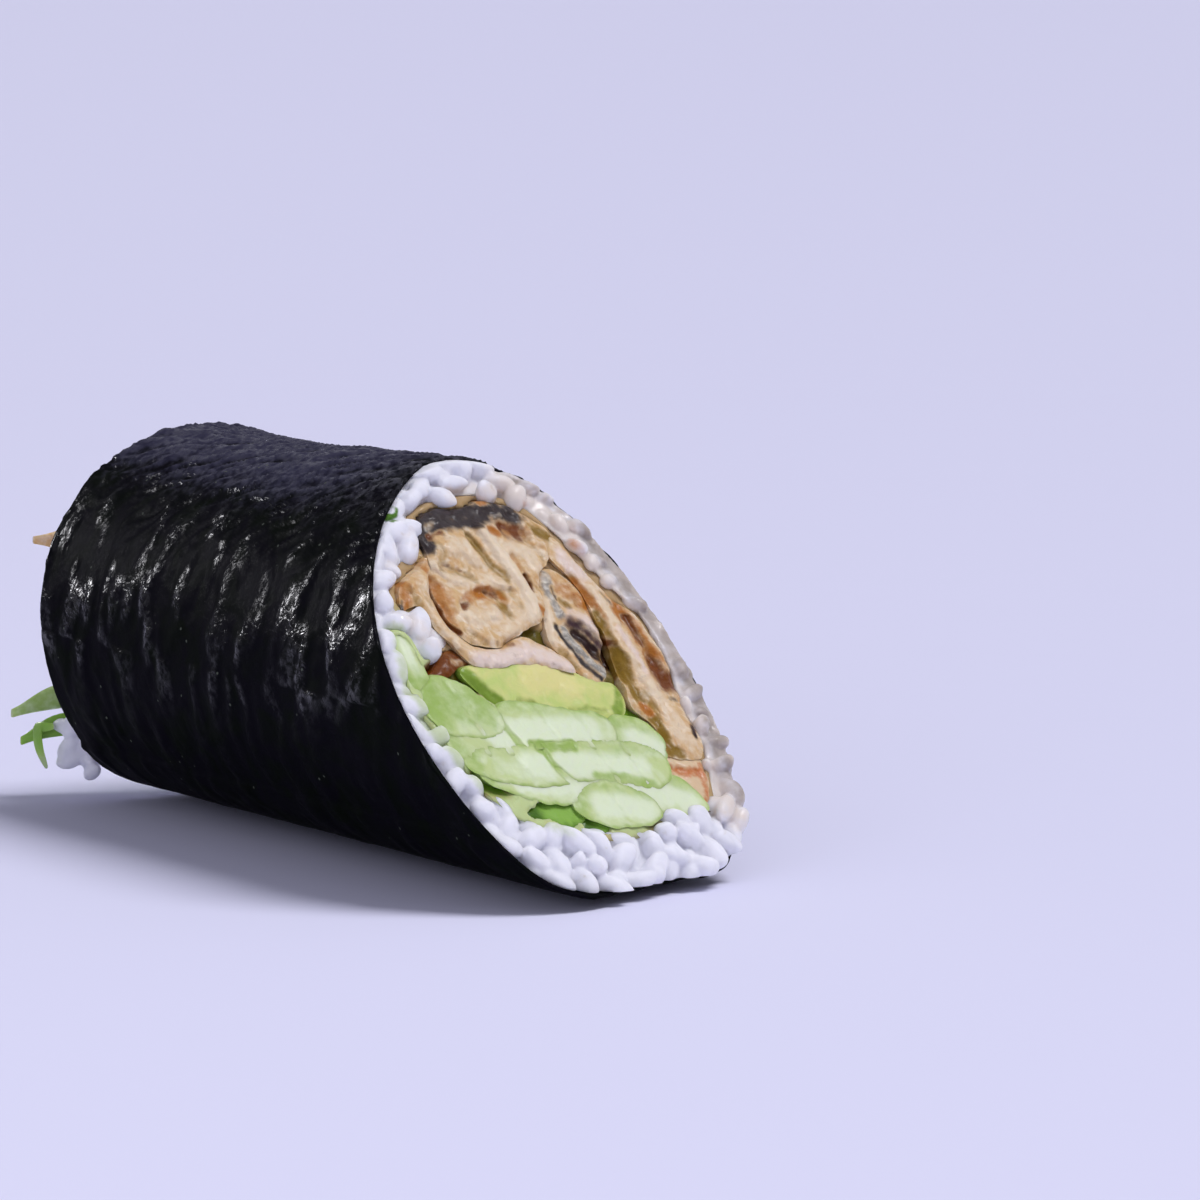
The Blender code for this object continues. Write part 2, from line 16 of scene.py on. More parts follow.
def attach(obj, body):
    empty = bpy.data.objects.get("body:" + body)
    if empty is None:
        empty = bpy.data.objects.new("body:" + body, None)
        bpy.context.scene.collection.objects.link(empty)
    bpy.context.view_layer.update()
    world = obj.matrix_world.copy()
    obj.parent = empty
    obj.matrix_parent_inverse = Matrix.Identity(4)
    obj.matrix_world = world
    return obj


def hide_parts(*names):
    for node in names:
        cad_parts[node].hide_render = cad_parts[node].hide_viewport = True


bl_info = {
    "name": "Cut eel roll",
    "version": (1, 0, 0),
    "blender": (4, 5, 0),
    "location": "3D View > Sidebar > Eel Roll",
    "description": "Builds the surfaces of a slant-cut eel roll and the light table it is seen on",
    "category": "Object",
}

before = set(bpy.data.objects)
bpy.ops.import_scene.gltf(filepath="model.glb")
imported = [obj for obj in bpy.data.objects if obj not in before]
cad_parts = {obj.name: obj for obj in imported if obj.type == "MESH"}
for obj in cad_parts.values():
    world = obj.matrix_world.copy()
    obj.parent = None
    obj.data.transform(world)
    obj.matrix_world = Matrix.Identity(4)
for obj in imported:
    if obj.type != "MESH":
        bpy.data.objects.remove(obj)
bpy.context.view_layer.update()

MM = 0.001

# The roll's own shape, as its solids have it
ROLL_RADIUS = 27.5 * MM
AXIS_HEIGHT = 23.0 * MM
BACK_X = -53.83 * MM
CUT_X = 40.77 * MM
CUT_RISE_SLOPE = 1.015
CUT_SIDE_SLOPE = 0.187
CUT_STRETCH = math.hypot(1, CUT_RISE_SLOPE)
BACK_LEAN = 0.13
BACK_SWELL = 0.036
RIM_SWELL = 0.028
RIM_SWELL_SHARE = 0.12
CUT_OVAL = -0.055
CUT_TRIANGLE = -0.021
CUT_SQUARE = 0.010
CUT_SQUARE_TURN = math.radians(45)
FLAT_SHARPNESS = 10
SETTLE = 0.45 * MM
OVERLAP_FROM = -146
OVERLAP_TO = -52
DENT_DEPTH = 0.5 * MM
DENT_SIZE = 15 * MM
DEEPEST_DENT = 0.3 * MM
RELIEF_FADE = 5 * MM
RICE_BULGE = 1.6 * MM
CORNER_BULGE = 2.0 * MM
CORNER_Y = -15 * MM
CORNER_Z = 6 * MM
CORNER_REACH = 8 * MM

# Fine relief of the seaweed, which the solids leave out
WARP = 1.4 * MM
WARP_SIZE = 7 * MM
RIB_LENGTH = 6.5 * MM
CREASE_LENGTH = 8 * MM
CREASE_SLANT = math.radians(-35)
RELIEF_SUNK = 0.1 * MM
RELIEF_FLOOR = -0.24 * MM

# How the rice is built up: an inner core, and at each end a slab with grains set in it, in layers of
# (depth under the end, seed)
CORE_INSET = 3 * MM
SLAB_DEPTH = 4 * MM
BACK_SLAB_SUNK = 0.6 * MM
UNDER_NORI = 0.1 * MM
CUT_LAYERS = [(2.4 * MM, 2), (1.0 * MM, 1)]
BACK_LAYERS = [(1.0 * MM, 4), (0.2 * MM, 3)]
SPOT_TRIES = 14000
GRAIN_SEED = 41

# Where the camera looks, its sensor in millimetres, and where the light from all round is strongest and the
# key light comes from
CAMERA_TARGET = (50.9 * MM, 0, 36.2 * MM)
SENSOR_WIDTH = 36
DOME_WAY = (-0.15, 0.5, 0.85)
KEY_WAY = (0.12, 0.48, 0.86)
KEY_SPREAD = math.radians(28)

# The paper's run away from the camera and its rise, in metres, and how it is divided
PAPER_PROFILE = [(-4, 0.0), (1.5, 0.0), (3.0, 0.02), (4.5, 0.12), (6.0, 0.32), (7.5, 0.62), (9.0, 1.0)]
PAPER_HALF_WIDTH = 6
PAPER_ROWS_PER_SPAN = 8
PAPER_COLUMNS = 7

# Fineness of the meshes
NORI_SIDES = 372
NORI_ROWS = 240
NORI_INNER_ROWS = 16
CORE_SIDES = 220
CORE_ROWS = 12
OUTLINE_STEP = 0.35 * MM
CAP_STEP = 0.26 * MM
BACK_CAP_STEP = 0.6 * MM
CORE_CAP_STEP = 0.7 * MM
CUT_RICE_VOXEL = 0.25 * MM
BACK_RICE_VOXEL = 0.36 * MM

# Outlines in the section, as closed smooth curves
RICE_HOLLOW = [
    (-9.9, 44.9), (-4.0, 46.8), (4.0, 47.0), (9.4, 45.9), (13.2, 42.6), (19.2, 34.2), (21.7, 30.4),
    (21.9, 24.0), (20.6, 19.6), (21.0, 15.5), (19.4, 11.2), (17.4, 7.7), (14.0, 7.2), (9.4, 7.6),
    (6.0, 6.0), (-3.0, 5.8), (-14.6, 8.8), (-19.3, 12.9), (-23.4, 21.8), (-23.5, 27.0), (-22.8, 31.6),
    (-20.8, 32.0), (-19.6, 30.8), (-19.2, 28.5), (-16.8, 28.7), (-14.2, 29.7), (-15.5, 31.4),
    (-16.5, 33.4), (-19.5, 33.3), (-20.0, 35.0), (-17.0, 38.7), (-11.2, 41.4),
]
EEL = {
    "eel_roll": [
        (-10.2, 42.6), (-8.3, 44.9), (-5.0, 45.8), (0.0, 45.7), (3.0, 46.5), (5.0, 46.2), (8.8, 45.0),
        (12.6, 41.8), (10.0, 38.8), (7.4, 37.0), (6.0, 34.8), (5.2, 32.6), (3.4, 31.3), (0.4, 30.5),
        (-2.0, 29.9), (-4.6, 29.1), (-6.9, 28.8), (-9.9, 29.6), (-11.3, 30.7), (-12.6, 31.9),
        (-13.0, 34.0), (-12.7, 36.4), (-11.5, 38.2), (-10.4, 40.0),
    ],
    "eel_fold": [
        (-10.7, 40.2), (-13.2, 38.9), (-16.2, 37.6), (-17.6, 36.8), (-18.9, 34.1), (-16.4, 34.6),
        (-15.1, 33.8), (-14.9, 31.6), (-13.4, 29.8), (-12.6, 28.4), (-11.3, 27.0), (-8.0, 26.6),
        (-5.0, 26.7), (-1.0, 26.3), (2.0, 25.6), (4.8, 24.9), (4.8, 26.2), (3.2, 27.6), (0.6, 29.2),
        (-1.4, 29.8), (-4.6, 29.0), (-7.0, 28.6), (-10.0, 29.4), (-11.4, 30.5), (-12.8, 31.9),
        (-13.2, 34.2), (-12.8, 36.5), (-11.5, 38.4),
    ],
    "eel_strip": [
        (7.6, 37.3), (9.4, 37.5), (11.6, 36.4), (13.0, 34.4), (13.3, 31.0), (12.8, 28.4), (11.8, 26.8),
        (10.8, 25.0), (9.8, 23.7), (8.2, 23.2), (6.4, 24.1), (5.2, 26.0), (3.9, 27.8), (3.6, 29.4),
        (4.4, 31.2), (5.2, 33.2), (6.2, 35.2),
    ],
    "eel_slab": [
        (10.2, 39.2), (11.2, 37.6), (12.4, 36.0), (13.0, 33.6), (13.1, 31.0), (13.5, 28.4), (13.3, 26.6),
        (12.8, 24.4), (12.0, 22.4), (11.4, 20.4), (12.4, 19.2), (13.6, 18.0), (13.9, 16.2), (12.8, 14.4),
        (15.0, 13.8), (19.0, 13.5), (20.6, 15.6), (20.2, 18.6), (21.3, 22.0), (21.6, 26.0), (20.8, 29.6),
        (19.6, 31.8), (17.8, 33.0), (16.4, 34.8), (14.6, 38.2), (13.0, 40.9), (11.4, 41.1),
    ],
    "eel_crust": [
        (-19.6, 26.1), (-17.0, 27.5), (-15.0, 28.7), (-13.3, 29.0), (-12.1, 27.9), (-11.4, 26.8),
        (-13.2, 27.0), (-15.5, 26.3), (-17.5, 25.8),
    ],
    "fish_piece": [
        (11.9, 13.5), (13.6, 14.2), (16.0, 13.8), (19.0, 13.4), (18.6, 10.8), (17.2, 8.9), (15.7, 8.0),
    ],
}
AVOCADO = [
    (-13.8, 26.5), (-10.6, 27.0), (-5.0, 27.0), (0.6, 26.6), (4.4, 25.1), (8.0, 23.6), (10.6, 22.9),
    (11.2, 21.8), (10.4, 20.0), (8.0, 19.2), (4.0, 19.8), (1.0, 20.1), (-3.0, 21.2), (-6.5, 22.0),
    (-9.8, 21.6), (-11.4, 22.6), (-12.8, 24.6),
]
CUCUMBER = {
    "cucumber_01": [
        (-22.6, 30.6), (-21.4, 31.4), (-20.2, 29.8), (-20.1, 27.0), (-20.4, 25.4), (-22.4, 25.0),
        (-23.3, 27.4),
    ],
    "cucumber_02": [
        (-22.6, 22.2), (-22.2, 24.2), (-20.6, 25.4), (-18.6, 26.1), (-16.4, 25.5), (-14.4, 24.4),
        (-12.8, 23.0), (-11.2, 21.6), (-11.6, 20.0), (-13.7, 19.2), (-17.0, 19.4), (-20.6, 20.0),
    ],
    "cucumber_03": [
        (-21.6, 19.2), (-20.6, 20.8), (-17.0, 20.4), (-13.0, 21.0), (-9.5, 22.2), (-6.0, 22.0),
        (0.0, 20.7), (4.5, 20.0), (6.4, 18.6), (5.8, 16.8), (2.0, 16.4), (-3.0, 16.6), (-7.0, 17.3),
        (-11.0, 16.8), (-15.0, 17.0), (-19.8, 17.2), (-21.4, 18.0),
    ],
    "cucumber_04": [
        (5.6, 18.5), (8.0, 19.3), (10.0, 18.9), (12.4, 18.1), (13.8, 16.2), (12.9, 14.4), (11.0, 14.0),
        (8.5, 14.8), (6.0, 15.8), (5.0, 17.3),
    ],
    "cucumber_05": [
        (-20.2, 16.8), (-17.0, 17.6), (-10.0, 17.3), (-4.0, 17.1), (2.0, 17.0), (8.0, 16.2), (11.6, 14.9),
        (12.6, 13.2), (11.0, 11.6), (8.4, 11.3), (4.0, 12.2), (0.0, 13.0), (-4.0, 13.1), (-9.0, 13.0),
        (-14.0, 13.7), (-17.5, 14.7), (-19.8, 15.7),
    ],
    "cucumber_06": [
        (-18.9, 14.9), (-16.0, 14.8), (-10.0, 14.4), (-4.0, 14.1), (-0.5, 13.1), (-1.8, 11.6),
        (-6.0, 10.8), (-9.5, 11.0), (-13.0, 12.0), (-16.5, 13.3),
    ],
    "cucumber_07": [
        (0.2, 12.9), (4.0, 13.1), (8.0, 12.6), (11.0, 12.2), (13.6, 11.2), (15.6, 8.4), (13.4, 7.7),
        (10.0, 7.8), (7.0, 8.8), (3.0, 10.8), (0.4, 12.0),
    ],
    "cucumber_08": [
        (-6.0, 10.7), (-2.0, 12.1), (1.6, 12.2), (4.8, 11.0), (7.0, 9.7), (7.2, 8.1), (5.0, 7.3),
        (1.0, 7.4), (-2.4, 7.9), (-5.4, 9.3),
    ],
}
PEEL = {
    "cucumber_peel_01": [
        (-14.4, 9.9), (-12.4, 10.8), (-10.2, 11.7), (-8.0, 11.2), (-5.0, 9.8), (-5.0, 8.4), (-8.5, 7.8),
        (-10.4, 8.8), (-12.8, 9.2),
    ],
    "cucumber_peel_02": [(-5.2, 9.3), (-2.8, 8.8), (-0.7, 7.8), (-3.2, 6.6), (-6.2, 7.2)],
}

# How far each filling stops short of the cut and sticks out of the back end, in millimetres; below 0 it
# ends inside
REACH = {
    "eel_roll": (0.3, -1.2), "eel_fold": (0.1, 0.0), "eel_strip": (0.9, -2.0), "eel_slab": (0.2, 2.5),
    "eel_crust": (1.1, -1.0), "fish_piece": (0.6, -3.0), "avocado": (0.4, 1.0),
    "cucumber_01": (0.4, -4.0), "cucumber_02": (0.2, 3.0), "cucumber_03": (0.2, 1.2),
    "cucumber_04": (0.2, 4.5), "cucumber_05": (0.1, 0.0), "cucumber_06": (0.2, 2.2),
    "cucumber_07": (0.2, 3.4), "cucumber_08": (0.1, 0.6), "cucumber_peel_01": (0.9, 0.0),
    "cucumber_peel_02": (0.8, -2.0),
}

# Loose ends past the back rim, in millimetres: points as (x past it, y, z), and the end's width and height
TAILS = {
    "cucumber_05": (
        [(-3.5, -8.0, 15.6), (-7.5, -17.5, 14.2), (-10.5, -23.5, 12.7), (-13.2, -28.2, 10.6)], 1.3, 3.2),
    "cucumber_peel_01": (
        [(-3.0, -13.0, 9.6), (-7.0, -20.0, 9.4), (-9.0, -25.0, 8.8), (-12.4, -27.4, 6.6)], 1.4, 3.2),
    "eel_fold": ([(-2.5, -11.0, 34.8), (-6.0, -18.5, 36.2), (-9.6, -25.0, 36.4)], 1.2, 2.8),
}
# Shreds that lie against a tail: points as (x, y, z) in millimetres
LOOSE = {
    "cucumber_peel_01": [(-59.0, -25.2, 9.2), (-61.4, -26.2, 8.6), (-60.4, -26.6, 6.0), (-58.6, -26.4, 3.4)],
}
# How fast a tail leaves the filling's place and takes its own section: powers of the share of its length
TAIL_SLIDE = 0.35
TAIL_SHRINK = 0.6
TAIL_FINENESS = 6
SHRED_SIDES = 16
SHRED_ROWS = 19

# A mark on the cut: the tone that it has, if any, its path in the section, how far it reaches to each side
# of the path and how much the flesh rises there, in millimetres, and how strong the tone is
Mark = namedtuple("Mark", "tone path reach rise strength", defaults=(0, 1))
# Olive marks stand for fat and juice and also for painted shade in the grooves of the flesh
MARKS = {
    "eel_roll": [
        Mark("", [(-7.2, 41.3), (-4.0, 41.9), (-2.6, 40.2)], 2.1, 0.54),
        Mark("pale", [(-5.8, 41.4), (-3.6, 41.2), (-3.0, 39.6)], 1.5, 0.18, 0.6),
        Mark("pale", [(-10.2, 39.2), (-8.4, 37.6), (-5.0, 36.7), (-1.6, 36.8), (0.6, 36.2)], 1.1, 0.54, 0.7),
        Mark("pale", [(-8.6, 32.6), (-6.0, 33.0), (-3.6, 33.2)], 1.3, 0.48, 0.6),
        Mark("", [(-8.8, 30.8), (-5.6, 30.2), (-2.0, 31.2)], 1.3, 0.42),
        Mark("pale", [(-3.4, 30.8), (0.0, 32.0), (2.2, 32.6)], 1.4, 0.24, 0.6),
        Mark("pale", [(-0.6, 34.2), (1.6, 33.4)], 1.2, 0.3, 0.5),
        Mark("pale", [(4.6, 40.6), (6.4, 40.0), (7.2, 38.2)], 1.5, 0.36, 0.7),
        Mark("", [(8.6, 42.6), (9.8, 41.0)], 1.2, 0.3),
        Mark("pale", [(0.7, 43.2), (1.9, 40.6), (2.8, 37.8), (3.6, 35.4), (3.4, 33.2)], 1.45, 0.66),
        Mark("olive_shade", [(-1.8, 42.2), (-1.1, 40.3), (-0.5, 38.6), (0.7, 37.2)], 0.95, -0.54, 0.7),
        Mark("olive_shade", [(0.6, 35.4), (0.9, 33.6)], 0.8, -0.24, 0.45),
        Mark("amber", [(3.9, 39.4), (4.4, 37.6), (4.6, 35.6)], 0.7, -0.36, 0.5),
        Mark("brown", [(4.5, 36.9), (4.7, 35.3)], 0.45, -0.48, 0.9),
        Mark("amber", [(4.3, 33.0), (4.7, 32.4)], 0.7, -0.18, 0.9),
        Mark("olive_shade", [(-9.2, 39.0), (-7.6, 38.5), (-6.2, 37.9), (-4.6, 37.3)], 0.75, -0.42, 0.5),
        Mark("brown", [(-9.0, 38.9), (-7.8, 39.0)], 0.4, -0.18, 0.5),
        Mark("amber", [(-8.4, 34.6), (-6.0, 35.4), (-3.6, 35.3)], 0.8, -0.3, 0.6),
        Mark("brown", [(-8.6, 34.0), (-7.9, 34.3)], 0.5, -0.3, 0.8),
        Mark("amber", [(-4.8, 35.4), (-3.2, 35.3), (-1.6, 34.6)], 1.1, -0.48, 0.8),
        Mark("brown", [(-3.6, 35.2), (-2.2, 34.8)], 0.6, -0.24, 0.7),
        Mark("olive_shade", [(-2.2, 33.8), (-1.6, 32.8)], 0.9, -0.18, 0.6),
        Mark("amber", [(-11.9, 37.2), (-12.3, 34.6), (-11.9, 32.2)], 1.3, -0.66, 0.75),
        Mark("brown", [(-12.6, 36.8), (-12.9, 34.6), (-12.4, 32.2), (-11.2, 31.0)], 0.55, -0.72),
        Mark("amber", [(-10.2, 36.4), (-10.6, 33.6)], 0.9, -0.24, 0.45),
        Mark("olive_shade", [(-8.0, 42.4), (-7.6, 40.6), (-8.4, 39.8)], 0.8, -0.18, 0.45),
        Mark("olive_shade", [(-10.0, 31.2), (-7.6, 29.6)], 0.6, -0.24, 0.4),
        Mark("brown", [(4.9, 43.0), (6.0, 42.8), (7.6, 42.3)], 1.5, -0.72),
        Mark("amber", [(4.9, 42.4), (5.4, 42.2)], 0.6, 0, 0.6),
        Mark("amber", [(2.3, 43.0), (3.4, 42.6)], 0.7, -0.24, 0.9),
        Mark("amber", [(8.0, 42.0), (9.0, 42.6)], 0.7, -0.18, 0.5),
        Mark("olive_shade", [(10.4, 42.2), (12.0, 41.4)], 0.9, -0.3, 0.9),
        Mark("olive_shade", [(7.6, 41.0), (9.0, 39.4), (8.8, 38.2)], 0.5, -0.3, 0.4),
        Mark("skin", [(-10.0, 42.0), (-9.2, 43.8), (-6.4, 45.2), (-3.3, 45.4), (0.0, 45.4)], 1.7, -0.18),
        Mark("skin", [(-9.8, 41.4), (-9.0, 43.0), (-6.0, 44.3), (0.0, 44.4), (2.6, 45.0)], 1.1, -0.12),
        Mark("skin", [(0.0, 44.6), (2.6, 45.2), (5.4, 45.2), (7.4, 44.6)], 1.4, -0.18),
        Mark("skin", [(7.4, 44.5), (9.2, 44.0)], 1.0, -0.12, 0.45),
        Mark("silver", [(-8.2, 43.7), (-6.6, 44.3)], 0.5, 0.06, 0.45),
        Mark("silver", [(3.4, 44.4), (5.4, 44.7)], 0.3, 0.06, 0.35),
        Mark("brown", [(-8.9, 42.5), (-6.2, 43.1)], 0.4, -0.18, 0.8),
        Mark("amber", [(2.8, 46.3), (4.2, 46.5)], 0.4, 0.06, 0.8),
    ],
    "eel_fold": [
        Mark("pale", [(-11.8, 39.2), (-14.4, 36.4), (-14.2, 32.8), (-12.4, 29.8), (-9.4, 28.2)],
             1.2, 0.3, 0.4),
        Mark("pink", [(-10.4, 27.8), (-6.0, 27.6), (-1.6, 28.2), (1.0, 27.4), (4.0, 25.8)], 1.3, 0.24, 0.9),
        Mark("amber", [(-18.4, 34.5), (-17.4, 35.6), (-16.8, 36.8)], 1.1, -0.12, 0.8),
        Mark("olive_shade", [(-16.2, 36.4), (-15.6, 34.9)], 0.8, -0.06, 0.5),
        Mark("skin", [(-18.8, 34.3), (-18.2, 35.4)], 0.35, 0, 0.8),
        Mark("amber", [(-11.2, 39.6), (-12.2, 38.8)], 0.6, -0.12, 0.6),
        Mark("brown", [(-5.8, 28.9), (-3.2, 29.2)], 0.35, -0.18, 0.5),
    ],
    "eel_strip": [
        Mark("amber", [(8.8, 35.6), (10.6, 34.6), (12.2, 33.2)], 1.4, 0.18, 0.6),
        Mark("olive_shade", [(8.6, 33.4), (9.4, 32.6)], 0.8, -0.3, 0.7),
        Mark("amber", [(12.7, 32.6), (12.9, 30.2), (12.6, 28.6)], 0.8, -0.3, 0.7),
        Mark("pink", [(7.8, 31.8), (9.6, 31.4), (11.6, 30.8), (12.2, 29.6)], 1.1, 0.42),
        Mark("pale", [(4.0, 29.0), (5.0, 31.0), (6.2, 33.4)], 1.0, 0.24, 0.7),
        Mark("olive_shade", [(4.6, 27.6), (5.8, 25.6)], 0.7, -0.18, 0.5),
        Mark("meat", [(8.9, 29.5), (9.9, 28.4), (11.1, 26.6)], 2.3, -0.42),
        Mark("dark", [(8.6, 29.2), (9.6, 28.4), (10.0, 27.0)], 1.1, -0.42),
        Mark("dark", [(10.6, 27.4), (11.2, 26.4)], 0.9, -0.3, 0.8),
        Mark("skin", [(5.7, 30.4), (6.3, 28.4), (7.4, 26.0), (9.2, 24.0)], 0.6, -0.18),
        Mark("silver", [(8.2, 36.6), (7.5, 35.0), (7.5, 33.2), (7.3, 32.0)], 0.9, 0.18, 0.85),
        Mark("skin", [(8.3, 35.2), (8.2, 33.6)], 0.3, -0.12, 0.7),
        Mark("silver", [(6.8, 29.9), (7.5, 27.9), (8.7, 25.8), (10.2, 24.5)], 0.8, 0.3),
    ],
    "eel_slab": [
        Mark("pink", [(12.6, 38.8), (14.0, 36.4), (14.9, 34.4)], 1.6, 0.18, 0.8),
        Mark("pale", [(14.9, 34.2), (15.3, 31.4), (15.6, 28.6), (16.2, 25.8), (16.5, 23.4)], 1.7, 0.48, 0.7),
        Mark("pink", [(15.8, 29.6), (16.4, 27.0), (16.8, 24.4)], 0.8, 0.12, 0.7),
        Mark("pale", [(16.4, 21.6), (17.2, 18.8), (18.2, 16.2)], 2.0, 0.18, 0.6),
        Mark("amber", [(12.6, 35.6), (13.4, 33.4), (14.0, 31.4)], 0.9, -0.24, 0.75),
        Mark("olive_shade", [(13.5, 31.6), (13.7, 29.6), (13.7, 27.8)], 0.8, -0.36, 0.9),
        Mark("brown", [(13.2, 27.4), (12.8, 25.6), (12.4, 24.0)], 1.2, -0.96),
        Mark("olive_shade", [(14.0, 26.6), (13.4, 24.0), (13.2, 21.6), (13.8, 19.0)], 1.1, -0.6),
        Mark("olive_shade", [(15.0, 21.6), (15.2, 19.4)], 1.0, -0.06, 0.5),
        Mark("olive_shade", [(14.4, 18.2), (14.6, 16.4), (14.2, 14.6), (15.8, 14.4)], 0.9, -0.36),
        Mark("amber", [(13.3, 20.0), (14.1, 19.7)], 0.85, 0.06),
        Mark("amber", [(17.6, 31.8), (18.7, 29.8), (19.1, 27.4), (19.5, 25.2)], 1.4, -0.54),
        Mark("brown", [(18.5, 30.6), (18.8, 28.4), (19.2, 26.2)], 0.8, -0.24, 0.85),
        Mark("amber", [(19.5, 25.0), (19.5, 23.4), (21.6, 22.6)], 2.2, -0.54),
        Mark("brown", [(19.2, 24.4), (19.4, 23.0), (20.8, 22.6)], 1.7, -0.24),
        Mark("skin", [(18.6, 20.8), (19.6, 20.6)], 0.4, 0, 0.5),
        Mark("dark", [(19.7, 16.4), (20.1, 17.0)], 0.55, 0.12),
        Mark("skin", [(15.8, 34.2), (17.0, 32.6)], 0.3, 0.06, 0.5),
    ],
    "eel_crust": [
        Mark("amber", [(-15.6, 28.2), (-13.2, 28.4), (-12.0, 27.4)], 0.9, 0.12, 0.7),
        Mark("brown", [(-19.4, 26.0), (-15.4, 27.2), (-12.2, 27.2)], 2.8, -0.12),
        Mark("amber", [(-14.4, 27.6), (-12.4, 27.4)], 0.6, 0, 0.5),
    ],
    "fish_piece": [
        Mark("orange", [(12.2, 13.3), (13.6, 12.6), (15.6, 12.0), (17.2, 12.0)], 0.8, -0.3, 0.7),
        Mark("orange", [(18.5, 12.4), (17.3, 9.8), (16.0, 8.4)], 0.8, 0, 0.6),
    ],
    "avocado": [
        Mark("rim", [(-13.6, 26.2), (-12.2, 24.4), (-10.4, 22.3)], 1.3, -0.48),
        Mark("rim", [(1.0, 20.7), (4.0, 20.6), (6.8, 20.2)], 0.6, -0.3, 0.45),
        Mark("rim", [(8.6, 19.8), (9.8, 20.8), (10.8, 22.2)], 1.0, -0.18, 0.8),
        Mark("core", [(-3.0, 25.0), (0.4, 25.2), (2.4, 24.2)], 2.4, 0.18, 0.9),
        Mark("rim", [(-6.8, 22.6), (-4.6, 22.0)], 0.7, -0.3, 0.4),
        Mark("core", [(2.0, 23.4), (6.4, 22.6)], 1.4, 0.18, 0.4),
    ],
}



def faint(start, end, reach=0.5):
    """A faint crease between two shreds of one strip, tinted green with a little painted shade."""
    return Mark("rim", [start, end], reach, -0.09, 0.15)


# Creases and green edges where shreds lie side by side in one strip; the green is partly painted shade in the
# creases
SEAMS = {
    "cucumber_02": [
        Mark("rim", [(-21.6, 22.6), (-17.0, 22.8), (-13.6, 21.6)], 2.6, 0, 0.6),
        faint((-17.6, 25.6), (-15.4, 19.4), 0.6),
    ],
    "cucumber_03": [
        Mark("rim", [(-8.6, 17.6), (-5.5, 17.2), (-1.7, 17.0)], 0.7, -0.3, 0.85),
        Mark("rim", [(-12.4, 22.0), (-10.0, 17.0)], 0.7, -0.3, 0.6),
        faint((-16.6, 20.6), (-15.0, 17.2)), faint((-4.6, 21.4), (-3.4, 16.8)),
        faint((1.2, 20.4), (2.4, 16.6)),
    ],
    "cucumber_05": [
        Mark("rim", [(-8.0, 17.2), (-5.0, 17.0), (-1.7, 16.8)], 0.6, -0.18, 0.8),
        Mark("rim", [(-0.4, 13.0), (4.0, 12.2), (8.4, 11.3)], 1.0, -0.12, 0.65),
        Mark("rim", [(-7.6, 17.6), (-6.4, 14.6), (-4.6, 12.8)], 0.8, -0.36, 0.7),
        faint((-12.6, 17.4), (-11.0, 13.2), 0.6), faint((-16.2, 17.4), (-14.8, 13.8)),
        faint((1.4, 17.0), (3.0, 12.4)), faint((6.4, 16.4), (7.6, 11.6)),
    ],
    "cucumber_07": [faint((5.0, 13.0), (6.6, 9.0))],
    "cucumber_08": [faint((0.2, 12.0), (1.6, 7.4))],
}

# What shows in the gaps between the fillings: sauce that has run down, and juice among the cucumber; its
# darker greens and browns in the deepest gaps are partly painted shade
GAP_MARKS = [
    Mark("juice", [(-21.6, 30.6), (-21.6, 25.0), (-14.0, 21.0)], 5.0),
    Mark("juice", [(-20.0, 18.0), (-8.0, 19.0), (8.0, 17.0)], 5.0),
    Mark("juice", [(-16.0, 12.0), (0.0, 10.0), (12.0, 10.0)], 5.0),
    Mark("brown", [(-19.0, 26.6), (-14.0, 27.6), (-11.6, 27.4)], 1.0),
    Mark("olive_shade", [(-16.5, 26.0), (-14.5, 25.2), (-12.8, 25.2)], 1.8),
    Mark("olive_shade", [(-0.6, 30.2), (1.4, 29.8), (3.2, 28.6)], 1.8),
    Mark("dark", [(12.4, 27.0), (11.8, 25.2)], 2.6),
    Mark("olive_shade", [(11.6, 22.8), (11.0, 20.6)], 1.6),
    Mark("leaf", [(10.6, 19.6), (11.8, 19.0)], 1.2),
    Mark("leaf", [(-19.2, 14.2), (-16.4, 13.6)], 1.7),
    Mark("leaf", [(-9.0, 17.8), (-5.4, 17.6)], 1.0),
    Mark("leaf", [(0.0, 13.0), (8.0, 12.0)], 0.9, 0, 0.7),
    Mark("tan", [(5.6, 7.6), (9.6, 7.9), (15.0, 7.6)], 1.6),
]
# How deep the sauce stands under the cut, plain and where each tone is full, in millimetres
PLAIN_DEPTH = 1.4
GAP_DEPTH = {"juice": 0.25, "leaf": 1.6, "olive_shade": 2.6, "brown": 2.2, "dark": 3.4, "tan": 1.3}
UNDER_FLESH = 4.0
GAP_OUTLINE_STEP = 0.6 * MM
GAP_STEP = 0.5 * MM
